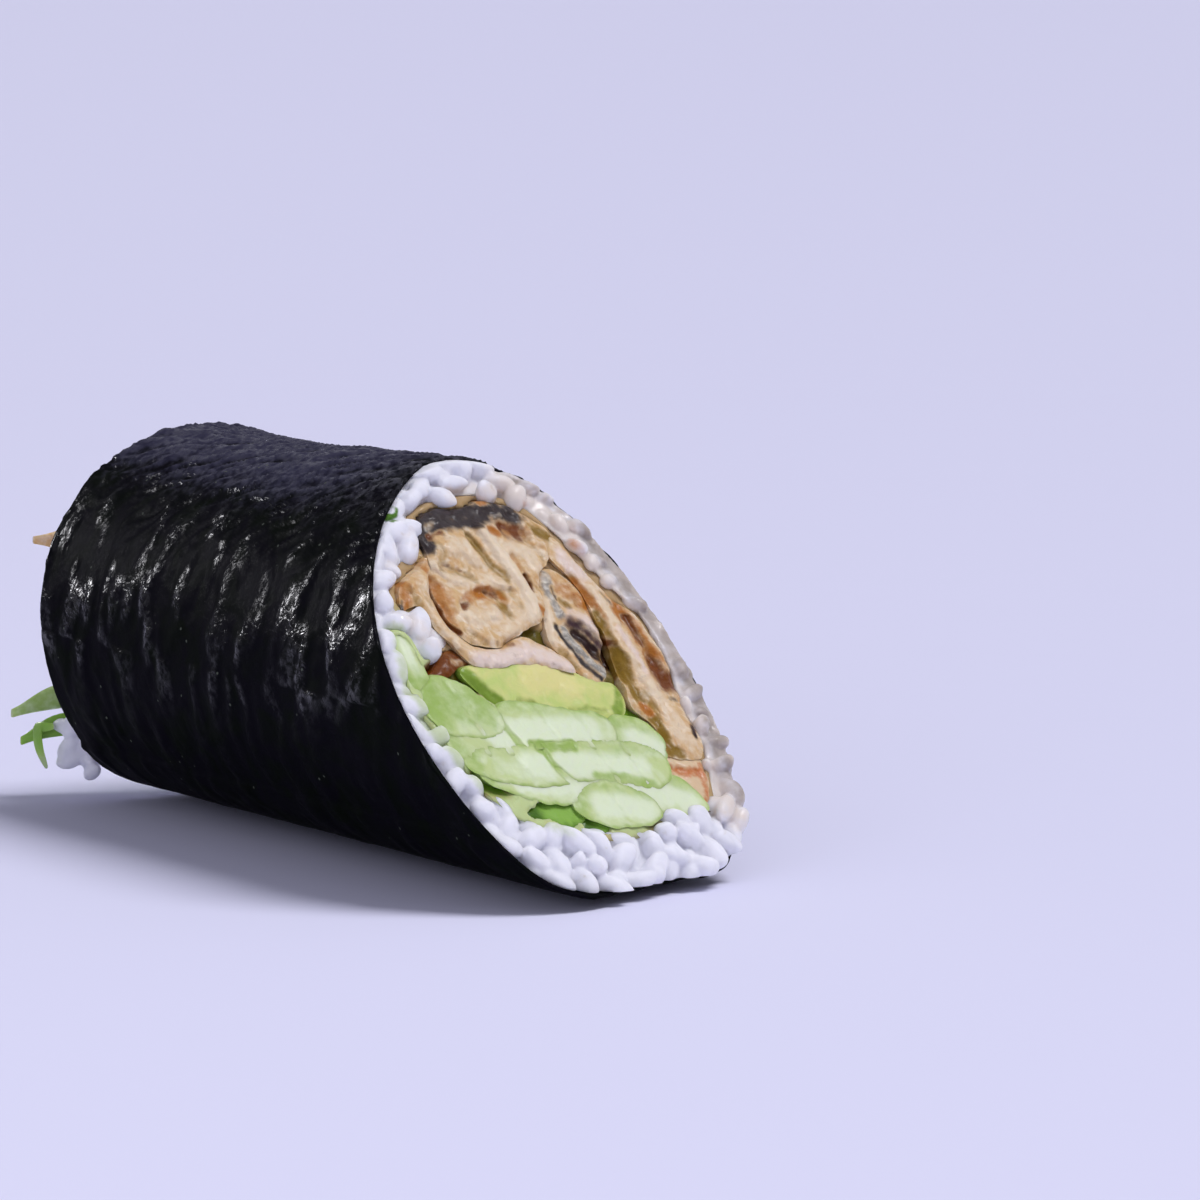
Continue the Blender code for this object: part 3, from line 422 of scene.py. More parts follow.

# Where the rice has taken colour from sauce and cucumber, and where its right rim is painted darker: painted
# shade over glassy rice
RICE_MARKS = [
    Mark("stain", [(10.0, 46.0), (16.0, 41.5), (21.5, 33.0), (23.6, 25.0), (23.0, 16.0), (20.6, 10.0)], 5.5),
    Mark("stain", [(16.4, 38.6), (19.4, 33.6), (22.4, 28.0)], 2.2),
    Mark("stain", [(-19.0, 33.0), (-16.6, 31.0), (-15.0, 29.8)], 2.2, 0, 0.5),
    Mark("stain", [(-11.5, 42.8), (-17.0, 39.6)], 2.0, 0, 0.3),
    Mark("stain", [(-2.0, 47.4), (5.0, 47.2)], 1.5, 0, 0.6),
    Mark("tint", [(-21.6, 31.4), (-23.4, 27.0), (-22.6, 20.0), (-19.6, 14.6)], 1.8, 0, 0.8),
    Mark("tint", [(-15.0, 10.2), (-10.0, 8.0)], 1.4, 0, 0.5),
    # The right rim is painted darker here: painted shade on glassy rice
    Mark("thin", [(20.0, 40.6), (22.4, 35.5), (24.2, 29.0), (24.8, 22.0), (23.8, 15.0), (23.4, 9.0)],
         2.8, 0, 0.9),
    Mark("thin", [(11.0, 49.6), (14.0, 47.4), (18.0, 43.4), (20.6, 39.4)], 1.2, 0, 0.5),
    Mark("spot", [(15.6, 40.4), (16.4, 39.4)], 0.8, 0, 0.5),
    Mark("spot", [(10.6, 45.8), (11.6, 45.4)], 0.5, 0, 0.4),
    Mark("leaf", [(-14.2, 45.3), (-12.7, 45.7), (-12.4, 46.3)], 0.42),
]

# Where grains have slid out of the back end: y, z and how far past the rim, and how many in each place
SPILL = [(y * MM, z * MM, reach * MM) for y, z, reach in (
    (-10, 3, 2), (-14, 3, 3.5), (-17, 4.5, 5), (-20, 6, 6), (-22, 8, 6.5), (-20.5, 3, 5.5), (-22.5, 5, 7.5),
    (-19, 9, 4.5), (-22, 11, 4.5), (-15.5, 7, 3.5),
)]
SPILL_COUNT = 3
SPILL_LIMIT_X = -63 * MM

# Rows of points along a filling's side: their depths near the cut, and how many more to the back rim
NEAR_CUT_ROWS = (0.0, 0.3 * MM, 0.7 * MM, 1.6 * MM, 4.0 * MM)
WALL_ROWS = 4
CRISP_ANGLE = math.radians(40)

# How far a seed shifts the noise, so that two patches have nothing in common
SEED_SHIFT = 13.7


def ease(value):
    """A smooth step from 0 to 1."""
    value = np.clip(value, 0, 1)
    return value * value * (3 - 2 * value)


def lumps(places, size, seed=0):
    """Smooth noise of about -1 to 1 at each place, of two or three numbers, with lumps of the given size."""
    places = np.asarray(places, float)
    if places.shape[1] == 2:
        places = np.column_stack([places, np.zeros(len(places))])
    return np.array([noise.noise(spot) for spot in (places / size + SEED_SHIFT * seed).tolist()])


def ridges(places, size, seed=0, power=1.0):
    """Noise of sharp crests at 1, between hollows that go down to about -1."""
    return 1 - 2 * np.abs(lumps(places, size, seed)) ** power


def cut_x(y, z):
    """Where the knife's plane stands at a point of the section."""
    return CUT_X - CUT_RISE_SLOPE * (z - AXIS_HEIGHT) - CUT_SIDE_SLOPE * y


def back_x(y, z):
    """Where the back rim stands at a point of the section; z alone sets it."""
    return BACK_X - BACK_LEAN * (z - AXIS_HEIGHT) + 0 * y


def rice_back_x(y, z):
    """The rice swells past the back rim, most in the middle and over its near lower corner."""
    reach = np.hypot(y, z - AXIS_HEIGHT) / ROLL_RADIUS
    corner = np.exp(-((y - CORNER_Y) ** 2 + (z - CORNER_Z) ** 2) / CORNER_REACH ** 2)
    return back_x(y, z) - RICE_BULGE * (1 - reach * reach) - CORNER_BULGE * corner


def swell(along):
    """How much thicker than its middle the roll is; along is 0 at the back rim and 1 at the cut."""
    return 1 + BACK_SWELL * (1 - along) + RIM_SWELL * np.exp(-along / RIM_SWELL_SHARE)


def roll_radius(angle, along):
    """The roll's radius round its axis, cut off smoothly by the flat underside."""
    waves = CUT_OVAL * np.cos(2 * angle) + CUT_TRIANGLE * np.cos(3 * angle)
    waves += CUT_SQUARE * np.cos(4 * angle + CUT_SQUARE_TURN)
    radius = ROLL_RADIUS * swell(along) * (1 + along * waves)
    down = np.maximum(-np.sin(angle), 1e-6)
    flat = AXIS_HEIGHT * swell(along) / down
    pressed = (radius ** -FLAT_SHARPNESS + flat ** -FLAT_SHARPNESS) ** (-1 / FLAT_SHARPNESS)
    return np.where(np.sin(angle) >= 0, radius, pressed)


def roll_point(angle, along, depth, relief=0.0):
    """A point of the section at a depth under the nori's outside, held above the flat underside."""
    radius = roll_radius(angle, along) - depth + relief
    z = AXIS_HEIGHT * swell(along) + radius * np.sin(angle) - SETTLE
    return radius * np.cos(angle), np.maximum(depth, z)


def roll_skin(along, angle, depth, relief=0.0):
    """Points on the roll's side, on slants that turn from the back rim's into the cut's."""
    y, z = roll_point(angle, along, depth)
    x = back_x(y, z) + (cut_x(y, z) - back_x(y, z)) * along
    y, z = roll_point(angle, along, depth, relief)
    return np.stack([x, y, z], axis=-1)


def full_turn(count):
    """Angles evenly spaced round the roll's axis."""
    return np.arange(count) * math.tau / count - math.pi


def curve_point(before, start, end, after, t):
    """The point at share t from start to end, on the smooth curve through four knots."""
    return 0.5 * (
        2 * start + (end - before) * t + (2 * before - 5 * start + 4 * end - after) * t * t
        + (3 * start - before - 3 * end + after) * t ** 3)


def smooth_at(knots, place):
    """A point of the open smooth curve through knots; place 1.5 is halfway from knot 1 to knot 2."""
    i = min(int(place), len(knots) - 2)
    start, end = knots[i], knots[i + 1]
    before = knots[i - 1] if i else 2 * start - end
    after = knots[i + 2] if i + 2 < len(knots) else 2 * end - start
    return curve_point(before, start, end, after, place - i)


def smooth_outline(points, step=OUTLINE_STEP):
    """A closed smooth curve through points in millimetres, as evenly spaced (y, z) in metres."""
    knots = np.array(points) * MM
    curve = []
    for i, start in enumerate(knots):
        before, end, after = knots[i - 1], knots[(i + 1) % len(knots)], knots[(i + 2) % len(knots)]
        steps = max(1, round(np.linalg.norm(end - start) / step))
        curve += [curve_point(before, start, end, after, t) for t in np.arange(steps) / steps]
    return np.array(curve)


def path_distance(places, path):
    """How far each place is from a path of straight sides."""
    nearest = np.full(len(places), np.inf)
    for start, end in zip(path, path[1:]):
        side = end - start
        share = np.clip((places - start) @ side / max(side @ side, 1e-18), 0, 1)
        gap = places - start - share[:, None] * side
        nearest = np.minimum(nearest, np.hypot(gap[:, 0], gap[:, 1]))
    return nearest


def is_inside(places, outline):
    """Whether each place lies inside a closed outline."""
    inside = np.zeros(len(places), bool)
    y, z = places.T
    for (start_y, start_z), (end_y, end_z) in zip(np.roll(outline, 1, axis=0), outline):
        if start_z == end_z:
            continue
        spans = (start_z > z) != (end_z > z)
        crossing = start_y + (end_y - start_y) * (z - start_z) / (end_z - start_z)
        inside ^= spans & (y < crossing)
    return inside


def depth_inside(places, outline):
    """The distance to a closed outline, above 0 inside it and under 0 outside."""
    distance = path_distance(places, np.vstack([outline, outline[:1]]))
    return np.where(is_inside(places, outline), distance, -distance)


def jittered_grid(low, high, step, seed):
    """Places spread evenly at random over a box."""
    draw = np.random.default_rng(seed)
    rows = np.arange(low[1], high[1] + step, step)
    columns = np.arange(low[0], high[0] + step, step)
    z, y = np.meshgrid(rows, columns, indexing="ij")
    y = y + 0.5 * step * (np.arange(len(rows)) % 2)[:, None]
    spots = np.stack([y.ravel(), z.ravel()], axis=1)
    return spots + draw.uniform(-0.25, 0.25, spots.shape) * step


def fill_outline(outline, holes, step, seed):
    """Points inside an outline and outside its holes, and the triangles that span them and all rims."""
    spots = jittered_grid(outline.min(axis=0), outline.max(axis=0), step, seed)
    spots = spots[depth_inside(spots, outline) > 0.5 * step]
    for hole in holes:
        spots = spots[depth_inside(spots, hole) < -0.5 * step]
    loops = [outline, *holes]
    edges = []
    first = 0
    for loop in loops:
        edges += [(first + i, first + (i + 1) % len(loop)) for i in range(len(loop))]
        first += len(loop)
    points = np.vstack([*loops, spots])
    _, _, faces, sources, _, _ = delaunay_2d_cdt([Vector(p) for p in points], edges, [], 1, 1e-9)
    corners = np.array([[sources[i][0] for i in face] for face in faces if all(sources[i] for i in face)])
    centres = points[corners].mean(axis=1)
    kept = is_inside(centres, outline)
    for hole in holes:
        kept &= ~is_inside(centres, hole)
    return spots, corners[kept]


def marks_at(places, marks):
    """The rise in metres at each place of the section, and how strong each tone is there.

    A mark's edge wanders a little. Its rise starts at its reach, and its tone nearly half as far again.
    """
    rise = np.zeros(len(places))
    tones = {mark.tone: np.zeros(len(places)) for mark in marks if mark.tone}
    wander = 0.25 * MM * lumps(places, 1.3 * MM, seed=51) + 0.1 * MM * lumps(places, 0.6 * MM, seed=52)
    for mark in marks:
        away = (path_distance(places, np.array(mark.path, float) * MM) + wander) / (mark.reach * MM)
        rise += mark.rise * MM * ease(1.15 * (1 - away))
        if not mark.tone:
            continue
        share = ease(1.22 - 0.83 * away)
        for values in tones.values():
            values *= 1 - share * mark.strength
        tones[mark.tone] += share * mark.strength
    return rise, tones


def hex_colour(code):
    """An sRGB hex code such as #d8d8e0 as linear red, green, blue and alpha."""
    parts = [int(code[i:i + 2], 16) / 255 for i in (1, 3, 5)]
    return (*(part / 12.92 if part <= 0.04045 else ((part + 0.055) / 1.055) ** 2.4 for part in parts), 1)


# Properties of the add-on, each from its name, what it is and its default
def colour_property(name, description, code):
    return bpy.props.FloatVectorProperty(
        name=name, description=description, subtype="COLOR", size=4, min=0, max=1, default=hex_colour(code))


def length_property(name, description, size):
    return bpy.props.FloatProperty(
        name=name, description=description, unit="LENGTH", min=0, precision=5, default=size)


def number_property(name, description, value):
    return bpy.props.FloatProperty(name=name, description=description, min=0, default=value)


def angle_property(name, description, degrees):
    return bpy.props.FloatProperty(
        name=name, description=description, subtype="ANGLE", default=math.radians(degrees))


class NoriSettings(bpy.types.PropertyGroup):
    thickness: length_property("Thickness", "Thickness of the seaweed sheet", 0.35 * MM)
    overlap_step: length_property("Overlap step", "Step where the sheet lies double", 0.4 * MM)
    rib_spacing: length_property("Rib spacing", "Spacing of the ribs round the girth", 2.7 * MM)
    rib_height: length_property("Rib height", "Height of the ribs over the rice grains", 0.42 * MM)
    crease_spacing: length_property("Crease spacing", "Spacing of the creases on top", 1.9 * MM)
    crease_height: length_property("Crease height", "Height of the creases on top", 0.5 * MM)
    shrink: length_property("Shrink", "How far the cut edge has drawn back behind the rice", 2.24 * MM)
    colour: colour_property("Colour", "Toasted seaweed", "#0e0d13")
    green: colour_property("Thin spots", "Seaweed where the sheet is thin", "#0c100b")
    # Painted sheen: the blue-grey that lightens the creases on the crown, where the bright room would reflect
    crown_sheen: colour_property("Dry crests", "Seaweed that has dried grey along its creases", "#343345")
    fleck: colour_property("Flecks", "Pale flecks in the sheet", "#4c5148")


class RiceSettings(bpy.types.PropertyGroup):
    grain_length: length_property("Grain length", "Length of a cooked grain", 5.9 * MM)
    grain_width: length_property("Grain width", "Width of a cooked grain", 3.2 * MM)
    spacing: length_property("Spacing", "Distance between the middles of grains", 3.2 * MM)
    colour: colour_property("Colour", "Cooked rice", "#e6e6ed")
    cloudy: colour_property("Cloudy rice", "Duller spots in the grains", "#dadbe2")
    stain: colour_property("Stain", "Rice where sauce has run into it", "#e0d6cd")
    # Painted shade: the darker grey-brown of the glassy right rim, where the dark nori shows through
    thin: colour_property("Thin rice", "Glassy rice that the nori shows through", "#a3988f")
    tint: colour_property("Tint", "Rice beside the cucumber", "#c2cdaa")
    leaf: colour_property("Green bit", "Bit of green stuck to the rice", "#547d2a")
    spot: colour_property("Sauce spot", "Small spots of sauce on the rice", "#c98a4c")


class EelSettings(bpy.types.PropertyGroup):
    flesh: colour_property("Flesh", "Cooked eel flesh", "#cfad7d")
    pale: colour_property("Pale flesh", "Freshly broken flesh", "#e0ceb2")
    fatty: colour_property("Fatty flesh", "Flesh that fat and glaze have soaked", "#c09258")
    # Painted shade: flesh darkened where its relief sinks, as in the shade of the hollows
    cleft_shade: colour_property("Low flesh", "Flesh in the hollows between its flakes", "#a5803c")
    pink: colour_property("Pink flesh", "Flesh beside the skin", "#dfcdc0")
    # Partly painted shade: the olive of fat and juice, darker in the grooves as if shaded
    olive_shade: colour_property("Clefts", "Fat and juice in the clefts", "#86681f")
    amber: colour_property("Thin sauce", "Sauce where it is thin", "#ac6c28")
    brown: colour_property("Thick sauce", "Sauce where it stands deep", "#6c3604")
    meat: colour_property("Dark meat", "Dark meat along the bone", "#4a3436")
    dark: colour_property("Browned meat", "Darkest meat", "#2c1814")
    skin: colour_property("Skin", "Dark side of the skin", "#342b2a")
    silver: colour_property("Silver skin", "Pale side of the skin", "#8e8a82")
    # Painted highlight: whitish glints mottled into the silver skin
    bright: colour_property("Bright skin", "Brightest spots of the pale side of the skin", "#c8c2b4")
    orange: colour_property("Fish edge", "Orange edge of the piece of fish", "#bd6a2a")
    fish: colour_property("Fish", "Cooked pink fish", "#d8bd98")


class GreensSettings(bpy.types.PropertyGroup):
    avocado: colour_property("Avocado", "Ripe avocado flesh", "#bdcc78")
    core: colour_property("Avocado core", "Yellow flesh near the stone", "#dad48e")
    avocado_rim: colour_property("Avocado rim", "Green flesh under the peel", "#7f9a3a")
    cucumber: colour_property("Cucumber", "Cucumber flesh", "#bfce90")
    # Also painted light on the tails past the back rim, which are lifted to this lighter tone
    seed: colour_property("Cucumber middle", "Watery flesh among the seeds", "#dae5c4")
    # Partly painted shade: the green along the strips' upper sides and seams, where the strip above shades
    # them
    cucumber_rim_shade: colour_property("Cucumber rim", "Green flesh under the peel", "#97b35c")
    peel: colour_property("Peel", "Cucumber peel", "#33560f")
    peel_light: colour_property("Light peel", "Cucumber peel where it is thin", "#4e781c")
    # Painted light: the peel lighter along its middle and on its tails, as if light shone through it
    peel_backlit: colour_property("Peel middle", "Cucumber peel with flesh left on it", "#86b04a")


class SauceSettings(bpy.types.PropertyGroup):
    thin: colour_property("Sauce", "Glaze mixed with juice", "#b0946a")
    juice: colour_property("Juice", "Juice and flesh between the strips", "#bccb8e")
    # Partly painted shade: the darker green of juice deep between the strips
    leaf: colour_property("Deep juice", "Juice deep between the strips", "#648a22")
    # Partly painted shadow: the juice in the shadow under the lowest cucumber strip
    tan: colour_property("Rice juice", "Juice that has run down to the rice", "#8d8760")
    # Partly painted shade: the olive of fat and juice in the deep gaps by the eel
    olive_shade: colour_property("Fat", "Fat and juice deep between the eel", "#5d5418")
    brown: colour_property("Thick sauce", "Sauce where it stands deep", "#6c3604")
    # Painted shade: the darkest brown in the deepest gap
    dark: colour_property("Darkest sauce", "Sauce in the deepest gap", "#34190c")


class StageSettings(bpy.types.PropertyGroup):
    floor: colour_property("Floor", "Seamless paper under and behind the roll", "#dbdbf1")
    light: colour_property("Light", "Colour of the lamps", "#fbfaff")
    sun: number_property("Key", "Strength of the key light", 2.4)
    shade: colour_property("Shade", "Colour of the light from all round", "#eeeeff")
    fill: number_property("Fill", "Power of the front fill in watts", 3.4)
    box: number_property("Soft box", "Power of the soft box in watts", 1.4)
    strip: number_property("Strip light", "Power of the strip light in watts", 3.0)
    room: number_property("Room", "Strength of the light from low down", 0.27)
    dome: number_property("Dome", "Strength of the light from above", 0.34)
    azimuth: angle_property("Azimuth", "Direction of the camera round the roll", 57.01)
    elevation: angle_property("Elevation", "Height of the camera over the table", 6.0)
    distance: length_property("Distance", "Distance of the camera", 583.6 * MM)
    lens: number_property("Lens", "Focal length in millimetres", 135)


def add_node(tree, kind, settings=None, links=None):
    """Add a node, set its values, and give its inputs other nodes' outputs or plain values."""
    node = tree.nodes.new(kind)
    for key, value in (settings or {}).items():
        if isinstance(key, int) or key in node.inputs:
            node.inputs[key].default_value = value
        else:
            setattr(node, key, value)
    for key, source in (links or {}).items():
        if isinstance(source, bpy.types.NodeSocket):
            tree.links.new(source, node.inputs[key])
        else:
            node.inputs[key].default_value = source
    return node


# Sockets of a Mix node that mixes colours
MIX_FACTOR, MIX_A, MIX_B, MIX_RESULT = 0, 6, 7, 2
# How much noise is added to a tone's strength, and the sums where the tone starts and where it is full
TONE_BREAK, TONE_FROM, TONE_FULL = 0.9, 0.55, 1.4


def new_material(name):
    """An empty material, its node tree, and the place of each point in metres."""
    material = bpy.data.materials.new(name)
    material.use_nodes = True
    tree = material.node_tree
    tree.nodes.clear()
    return material, tree, add_node(tree, "ShaderNodeTexCoord").outputs["Object"]


def toned(tree, place, colour, tones, grain):
    """A colour socket with tones laid over it where their attributes are strong.

    Noise of the grain's size breaks up their edges: half strong, a tone shows only in the noise's crests.
    """
    cloud = add_node(tree, "ShaderNodeTexNoise", {"Scale": 1 / grain, "Detail": 3}, {"Vector": place})
    for name, tone in tones.items():
        mask = add_node(tree, "ShaderNodeAttribute", {"attribute_name": name})
        broken = add_node(
            tree, "ShaderNodeMath", {"operation": "MULTIPLY_ADD", 1: TONE_BREAK},
            {0: cloud.outputs["Fac"], 2: mask.outputs["Fac"]})
        share = add_node(
            tree, "ShaderNodeMapRange",
            {"interpolation_type": "SMOOTHSTEP", "From Min": TONE_FROM, "From Max": TONE_FULL},
            {"Value": broken.outputs["Value"]})
        mixed = add_node(
            tree, "ShaderNodeMix", {"data_type": "RGBA"},
            {MIX_FACTOR: share.outputs["Result"], MIX_A: colour, MIX_B: tone})
        colour = mixed.outputs[MIX_RESULT]
    return colour


def mottled(tree, place, colour, other, size, amount, band=(0.42, 0.68), detail=4, distortion=0.6):
    """Two colours in soft spots of the given size; amount is the most that the second one has.

    The second one comes in where the noise is in the band.
    """
    cloud = add_node(
        tree, "ShaderNodeTexNoise", {"Scale": 1 / size, "Detail": detail, "Distortion": distortion},
        {"Vector": place})
    share = add_node(
        tree, "ShaderNodeMapRange", {"From Min": band[0], "From Max": band[1], "To Max": amount},
        {"Value": cloud.outputs["Fac"]})
    mixed = add_node(
        tree, "ShaderNodeMix", {"data_type": "RGBA"},
        {MIX_FACTOR: share.outputs["Result"], MIX_A: colour, MIX_B: other})
    return mixed.outputs[MIX_RESULT]


def rough_normal(tree, place, sizes):
    """A normal with bumps, from (size, height, strength) of each layer of noise."""
    normal = None
    for size, height, strength in sizes:
        cloud = add_node(
            tree, "ShaderNodeTexNoise", {"Scale": 1 / size, "Detail": 4, "Distortion": 0.5},
            {"Vector": place})
        links = {"Height": cloud.outputs["Fac"]}
        if normal:
            links["Normal"] = normal
        bump = add_node(tree, "ShaderNodeBump", {"Strength": strength, "Distance": height}, links)
        normal = bump.outputs["Normal"]
    return normal


def finished(material, settings, links):
    """The material, ended in a Principled shader."""
    shader = add_node(material.node_tree, "ShaderNodeBsdfPrincipled", settings, links)
    add_node(material.node_tree, "ShaderNodeOutputMaterial", {}, {"Surface": shader.outputs["BSDF"]})
    return material


def toasted_nori(settings):
    """Dried and toasted seaweed sheet, softened by the rice.

    It is nearly black with a violet cast and thin green spots. Where it is stretched over the grains a
    gloss breaks the light into crackled streaks, and a few pale flecks dot it.
    """
    material, tree, place = new_material("toasted nori sheet")
    moist = mottled(tree, place, settings.colour, settings.green, 5 * MM, 1)
    # The crown's creases are painted lighter here: a painted sheen
    body = toned(tree, place, moist, {"crown_sheen": settings.crown_sheen}, 1.2 * MM)
    cells = add_node(tree, "ShaderNodeTexVoronoi", {"Scale": 1 / (3.4 * MM)}, {"Vector": place})
    fleck = add_node(
        tree, "ShaderNodeMapRange", {"From Min": 0.07, "From Max": 0.05},
        {"Value": cells.outputs["Distance"]})
    colour = add_node(
        tree, "ShaderNodeMix", {"data_type": "RGBA"},
        {MIX_FACTOR: fleck.outputs["Result"], MIX_A: body, MIX_B: settings.fleck})
    warp = add_node(tree, "ShaderNodeTexNoise", {"Scale": 1 / (1.5 * MM), "Detail": 3}, {"Vector": place})
    shift = add_node(
        tree, "ShaderNodeVectorMath", {"operation": "MULTIPLY_ADD", 1: 3 * (1.4 * MM,)},
        {0: warp.outputs["Color"], 2: place})
    fibres = add_node(
        tree, "ShaderNodeTexVoronoi", {"feature": "DISTANCE_TO_EDGE", "Scale": 1 / (1.1 * MM)},
        {"Vector": shift.outputs["Vector"]})
    ridge = add_node(
        tree, "ShaderNodeMapRange", {"From Max": 0.2}, {"Value": fibres.outputs["Distance"]})
    soft = rough_normal(tree, place, [(1.6 * MM, 0.05 * MM, 0.8), (0.5 * MM, 0.02 * MM, 0.7)])
    crackle = add_node(
        tree, "ShaderNodeBump", {"Strength": 0.9, "Distance": 0.025 * MM},
        {"Height": ridge.outputs["Result"], "Normal": soft})
    patches = add_node(
        tree, "ShaderNodeTexNoise", {"Scale": 1 / (1.2 * MM), "Detail": 5}, {"Vector": place})
    broken = add_node(
        tree, "ShaderNodeMapRange", {"From Min": 0.4, "From Max": 0.6, "To Min": 0.04, "To Max": 0.9},
        {"Value": patches.outputs["Fac"]})
    stretched = add_node(tree, "ShaderNodeAttribute", {"attribute_name": "gloss"})
    gloss = add_node(
        tree, "ShaderNodeMath", {"operation": "MULTIPLY_ADD", 2: 0.003},
        {0: stretched.outputs["Fac"], 1: broken.outputs["Result"]})
    return finished(
        material,
        {"Roughness": 0.5, "IOR": 1.4, "Specular IOR Level": 0.008, "Coat Roughness": 0.15, "Coat IOR": 1.5},
        {"Base Color": colour.outputs[MIX_RESULT], "Normal": soft, "Coat Weight": gloss.outputs["Value"],
         "Coat Normal": crackle.outputs["Normal"]})


def cooked_rice(settings):
    """Boiled short-grain rice, vinegared and pressed.

    The grains are white and moist, let light through at their edges, and take a tan stain from sauce
    and a faint green one from cucumber. Along the right rim they are painted darker: painted shade on glassy
    rice.
    """
    material, tree, place = new_material("cooked rice")
    white = mottled(tree, place, settings.colour, settings.cloudy, 2.2 * MM, 0.7)
    # The glassy rim's darker grey is painted shade
    glassy = mottled(tree, place, settings.thin, settings.stain, 2.8 * MM, 0.4)
    tones = {
        "stain": settings.stain, "thin": glassy, "tint": settings.tint, "leaf": settings.leaf,
        "spot": settings.spot,
    }
    colour = toned(tree, place, white, tones, 1.6 * MM)
    wet = add_node(tree, "ShaderNodeAttribute", {"attribute_name": "wet"})
    film = add_node(
        tree, "ShaderNodeMapRange", {"To Min": 0.12, "To Max": 0.9}, {"Value": wet.outputs["Fac"]})
    return finished(
        material,
        {"Roughness": 0.42, "IOR": 1.38, "Subsurface Weight": 0.95, "Subsurface Radius": (1.0, 0.97, 0.95),
         "Subsurface Scale": 1.8 * MM, "Coat Roughness": 0.08},
        {"Base Color": colour, "Coat Weight": film.outputs["Result"],
         "Normal": rough_normal(tree, place, [(0.9 * MM, 0.08 * MM, 0.4)]),
         "Coat Normal": rough_normal(tree, place, [(1.0 * MM, 0.1 * MM, 0.6), (0.45 * MM, 0.06 * MM, 0.9)])})


def grilled_eel(settings):
    """Steamed and grilled eel with its skin, brushed with sweet soy glaze.

    The flaky flesh is cream to tan, and olive in its clefts, where fat and juice lie and painted shade
    darkens it. The skin is charcoal on one side and silver on the other, with painted glints on the silver,
    and the glaze runs from amber where it is thin to dark brown where it stands.
    """
    material, tree, place = new_material("grilled eel")
    flesh = mottled(tree, place, settings.flesh, settings.pale, 1.5 * MM, 1)
    fatty = mottled(tree, place, settings.fatty, settings.flesh, 1.1 * MM, 1)
    body = mottled(tree, place, flesh, fatty, 2.6 * MM, 0.7, (0.52, 0.66), 5, 0.8)
    tones = {name: getattr(settings, name) for name in (
        "cleft_shade", "pale", "pink", "olive_shade", "amber", "brown", "meat", "dark", "skin", "silver")}
    # The silver skin is mottled with painted glints
    tones["silver"] = mottled(tree, place, settings.silver, settings.bright, 0.9 * MM, 1)
    colour = toned(tree, place, body, tones, 1.3 * MM)
    return finished(
        material,
        {"Roughness": 0.34, "IOR": 1.4, "Subsurface Weight": 0.4, "Subsurface Radius": (1.0, 0.8, 0.5),
         "Subsurface Scale": 0.9 * MM, "Specular IOR Level": 0.3, "Coat Weight": 0.16,
         "Coat Roughness": 0.16},
        {"Base Color": colour, "Normal": rough_normal(
            tree, place, [(1.4 * MM, 0.22 * MM, 0.7), (0.45 * MM, 0.1 * MM, 0.6)])})


def poached_fish(settings):
    """A flake of cooked pink fish: pale salmon flesh that is orange along its edges."""
    material, tree, place = new_material("cooked pink fish")
    colour = toned(tree, place, settings.fish, {"orange": settings.orange}, 0.7 * MM)
    return finished(
        material,
        {"Roughness": 0.38, "IOR": 1.4, "Subsurface Weight": 0.3, "Subsurface Radius": (1.0, 0.5, 0.3),
         "Subsurface Scale": 1 * MM, "Coat Weight": 0.3, "Coat Roughness": 0.15},
        {"Base Color": colour, "Normal": rough_normal(tree, place, [(0.9 * MM, 0.2 * MM, 0.7)])})


def fresh_cut(name, flesh, tones, wetness, pulp):
    """The cut of a raw fruit or vegetable: watery flesh, greener under its peel, with a wet film.

    Light sinks in and tints it, and the film gives small clear glints.
    """
    material, tree, place = new_material(name)
    first = next(iter(tones.values()))
    body = mottled(tree, place, flesh, first, 3.5 * MM, 0.6)
    colour = toned(tree, place, body, tones, 1.4 * MM)
    return finished(
        material,
        {"Roughness": 0.34, "IOR": 1.36, "Subsurface Weight": 0.5, "Subsurface Radius": (0.85, 1.0, 0.5),
         "Subsurface Scale": 1.2 * MM, "Specular IOR Level": 0.3, "Coat Weight": wetness,
         "Coat Roughness": 0.12},
        {"Base Color": colour, "Normal": rough_normal(tree, place, [(pulp, 0.16 * MM, 0.6)])})


def gap_juice(settings):
    """Sweet soy glaze thinned by vegetable juice: brown by the eel and green among the cucumber, painted
    darker as painted shade where the gaps are deep.
    """
    material, tree, place = new_material("sauce and juice")
    tones = {name: getattr(settings, name) for name in ("juice", "leaf", "tan", "olive_shade", "brown", "dark")}
    colour = toned(tree, place, settings.thin, tones, 1.2 * MM)
    return finished(
        material,
        {"Roughness": 0.2, "IOR": 1.36, "Subsurface Weight": 0.3, "Subsurface Radius": (1.0, 0.8, 0.3),
         "Subsurface Scale": 1.2 * MM},
        {"Base Color": colour, "Normal": rough_normal(tree, place, [(1.2 * MM, 0.2 * MM, 0.5)])})


def seamless_paper(settings):
    """A roll of matt background paper, as pale and even as a light table."""
    material, _, _ = new_material("seamless paper")
    return finished(material, {"Base Color": settings.floor, "Roughness": 0.9, "IOR": 1.2}, {})


def add_object(name, data):
    """A new object in the scene."""
    thing = bpy.data.objects.new(name, data)
    bpy.context.scene.collection.objects.link(thing)
    return thing


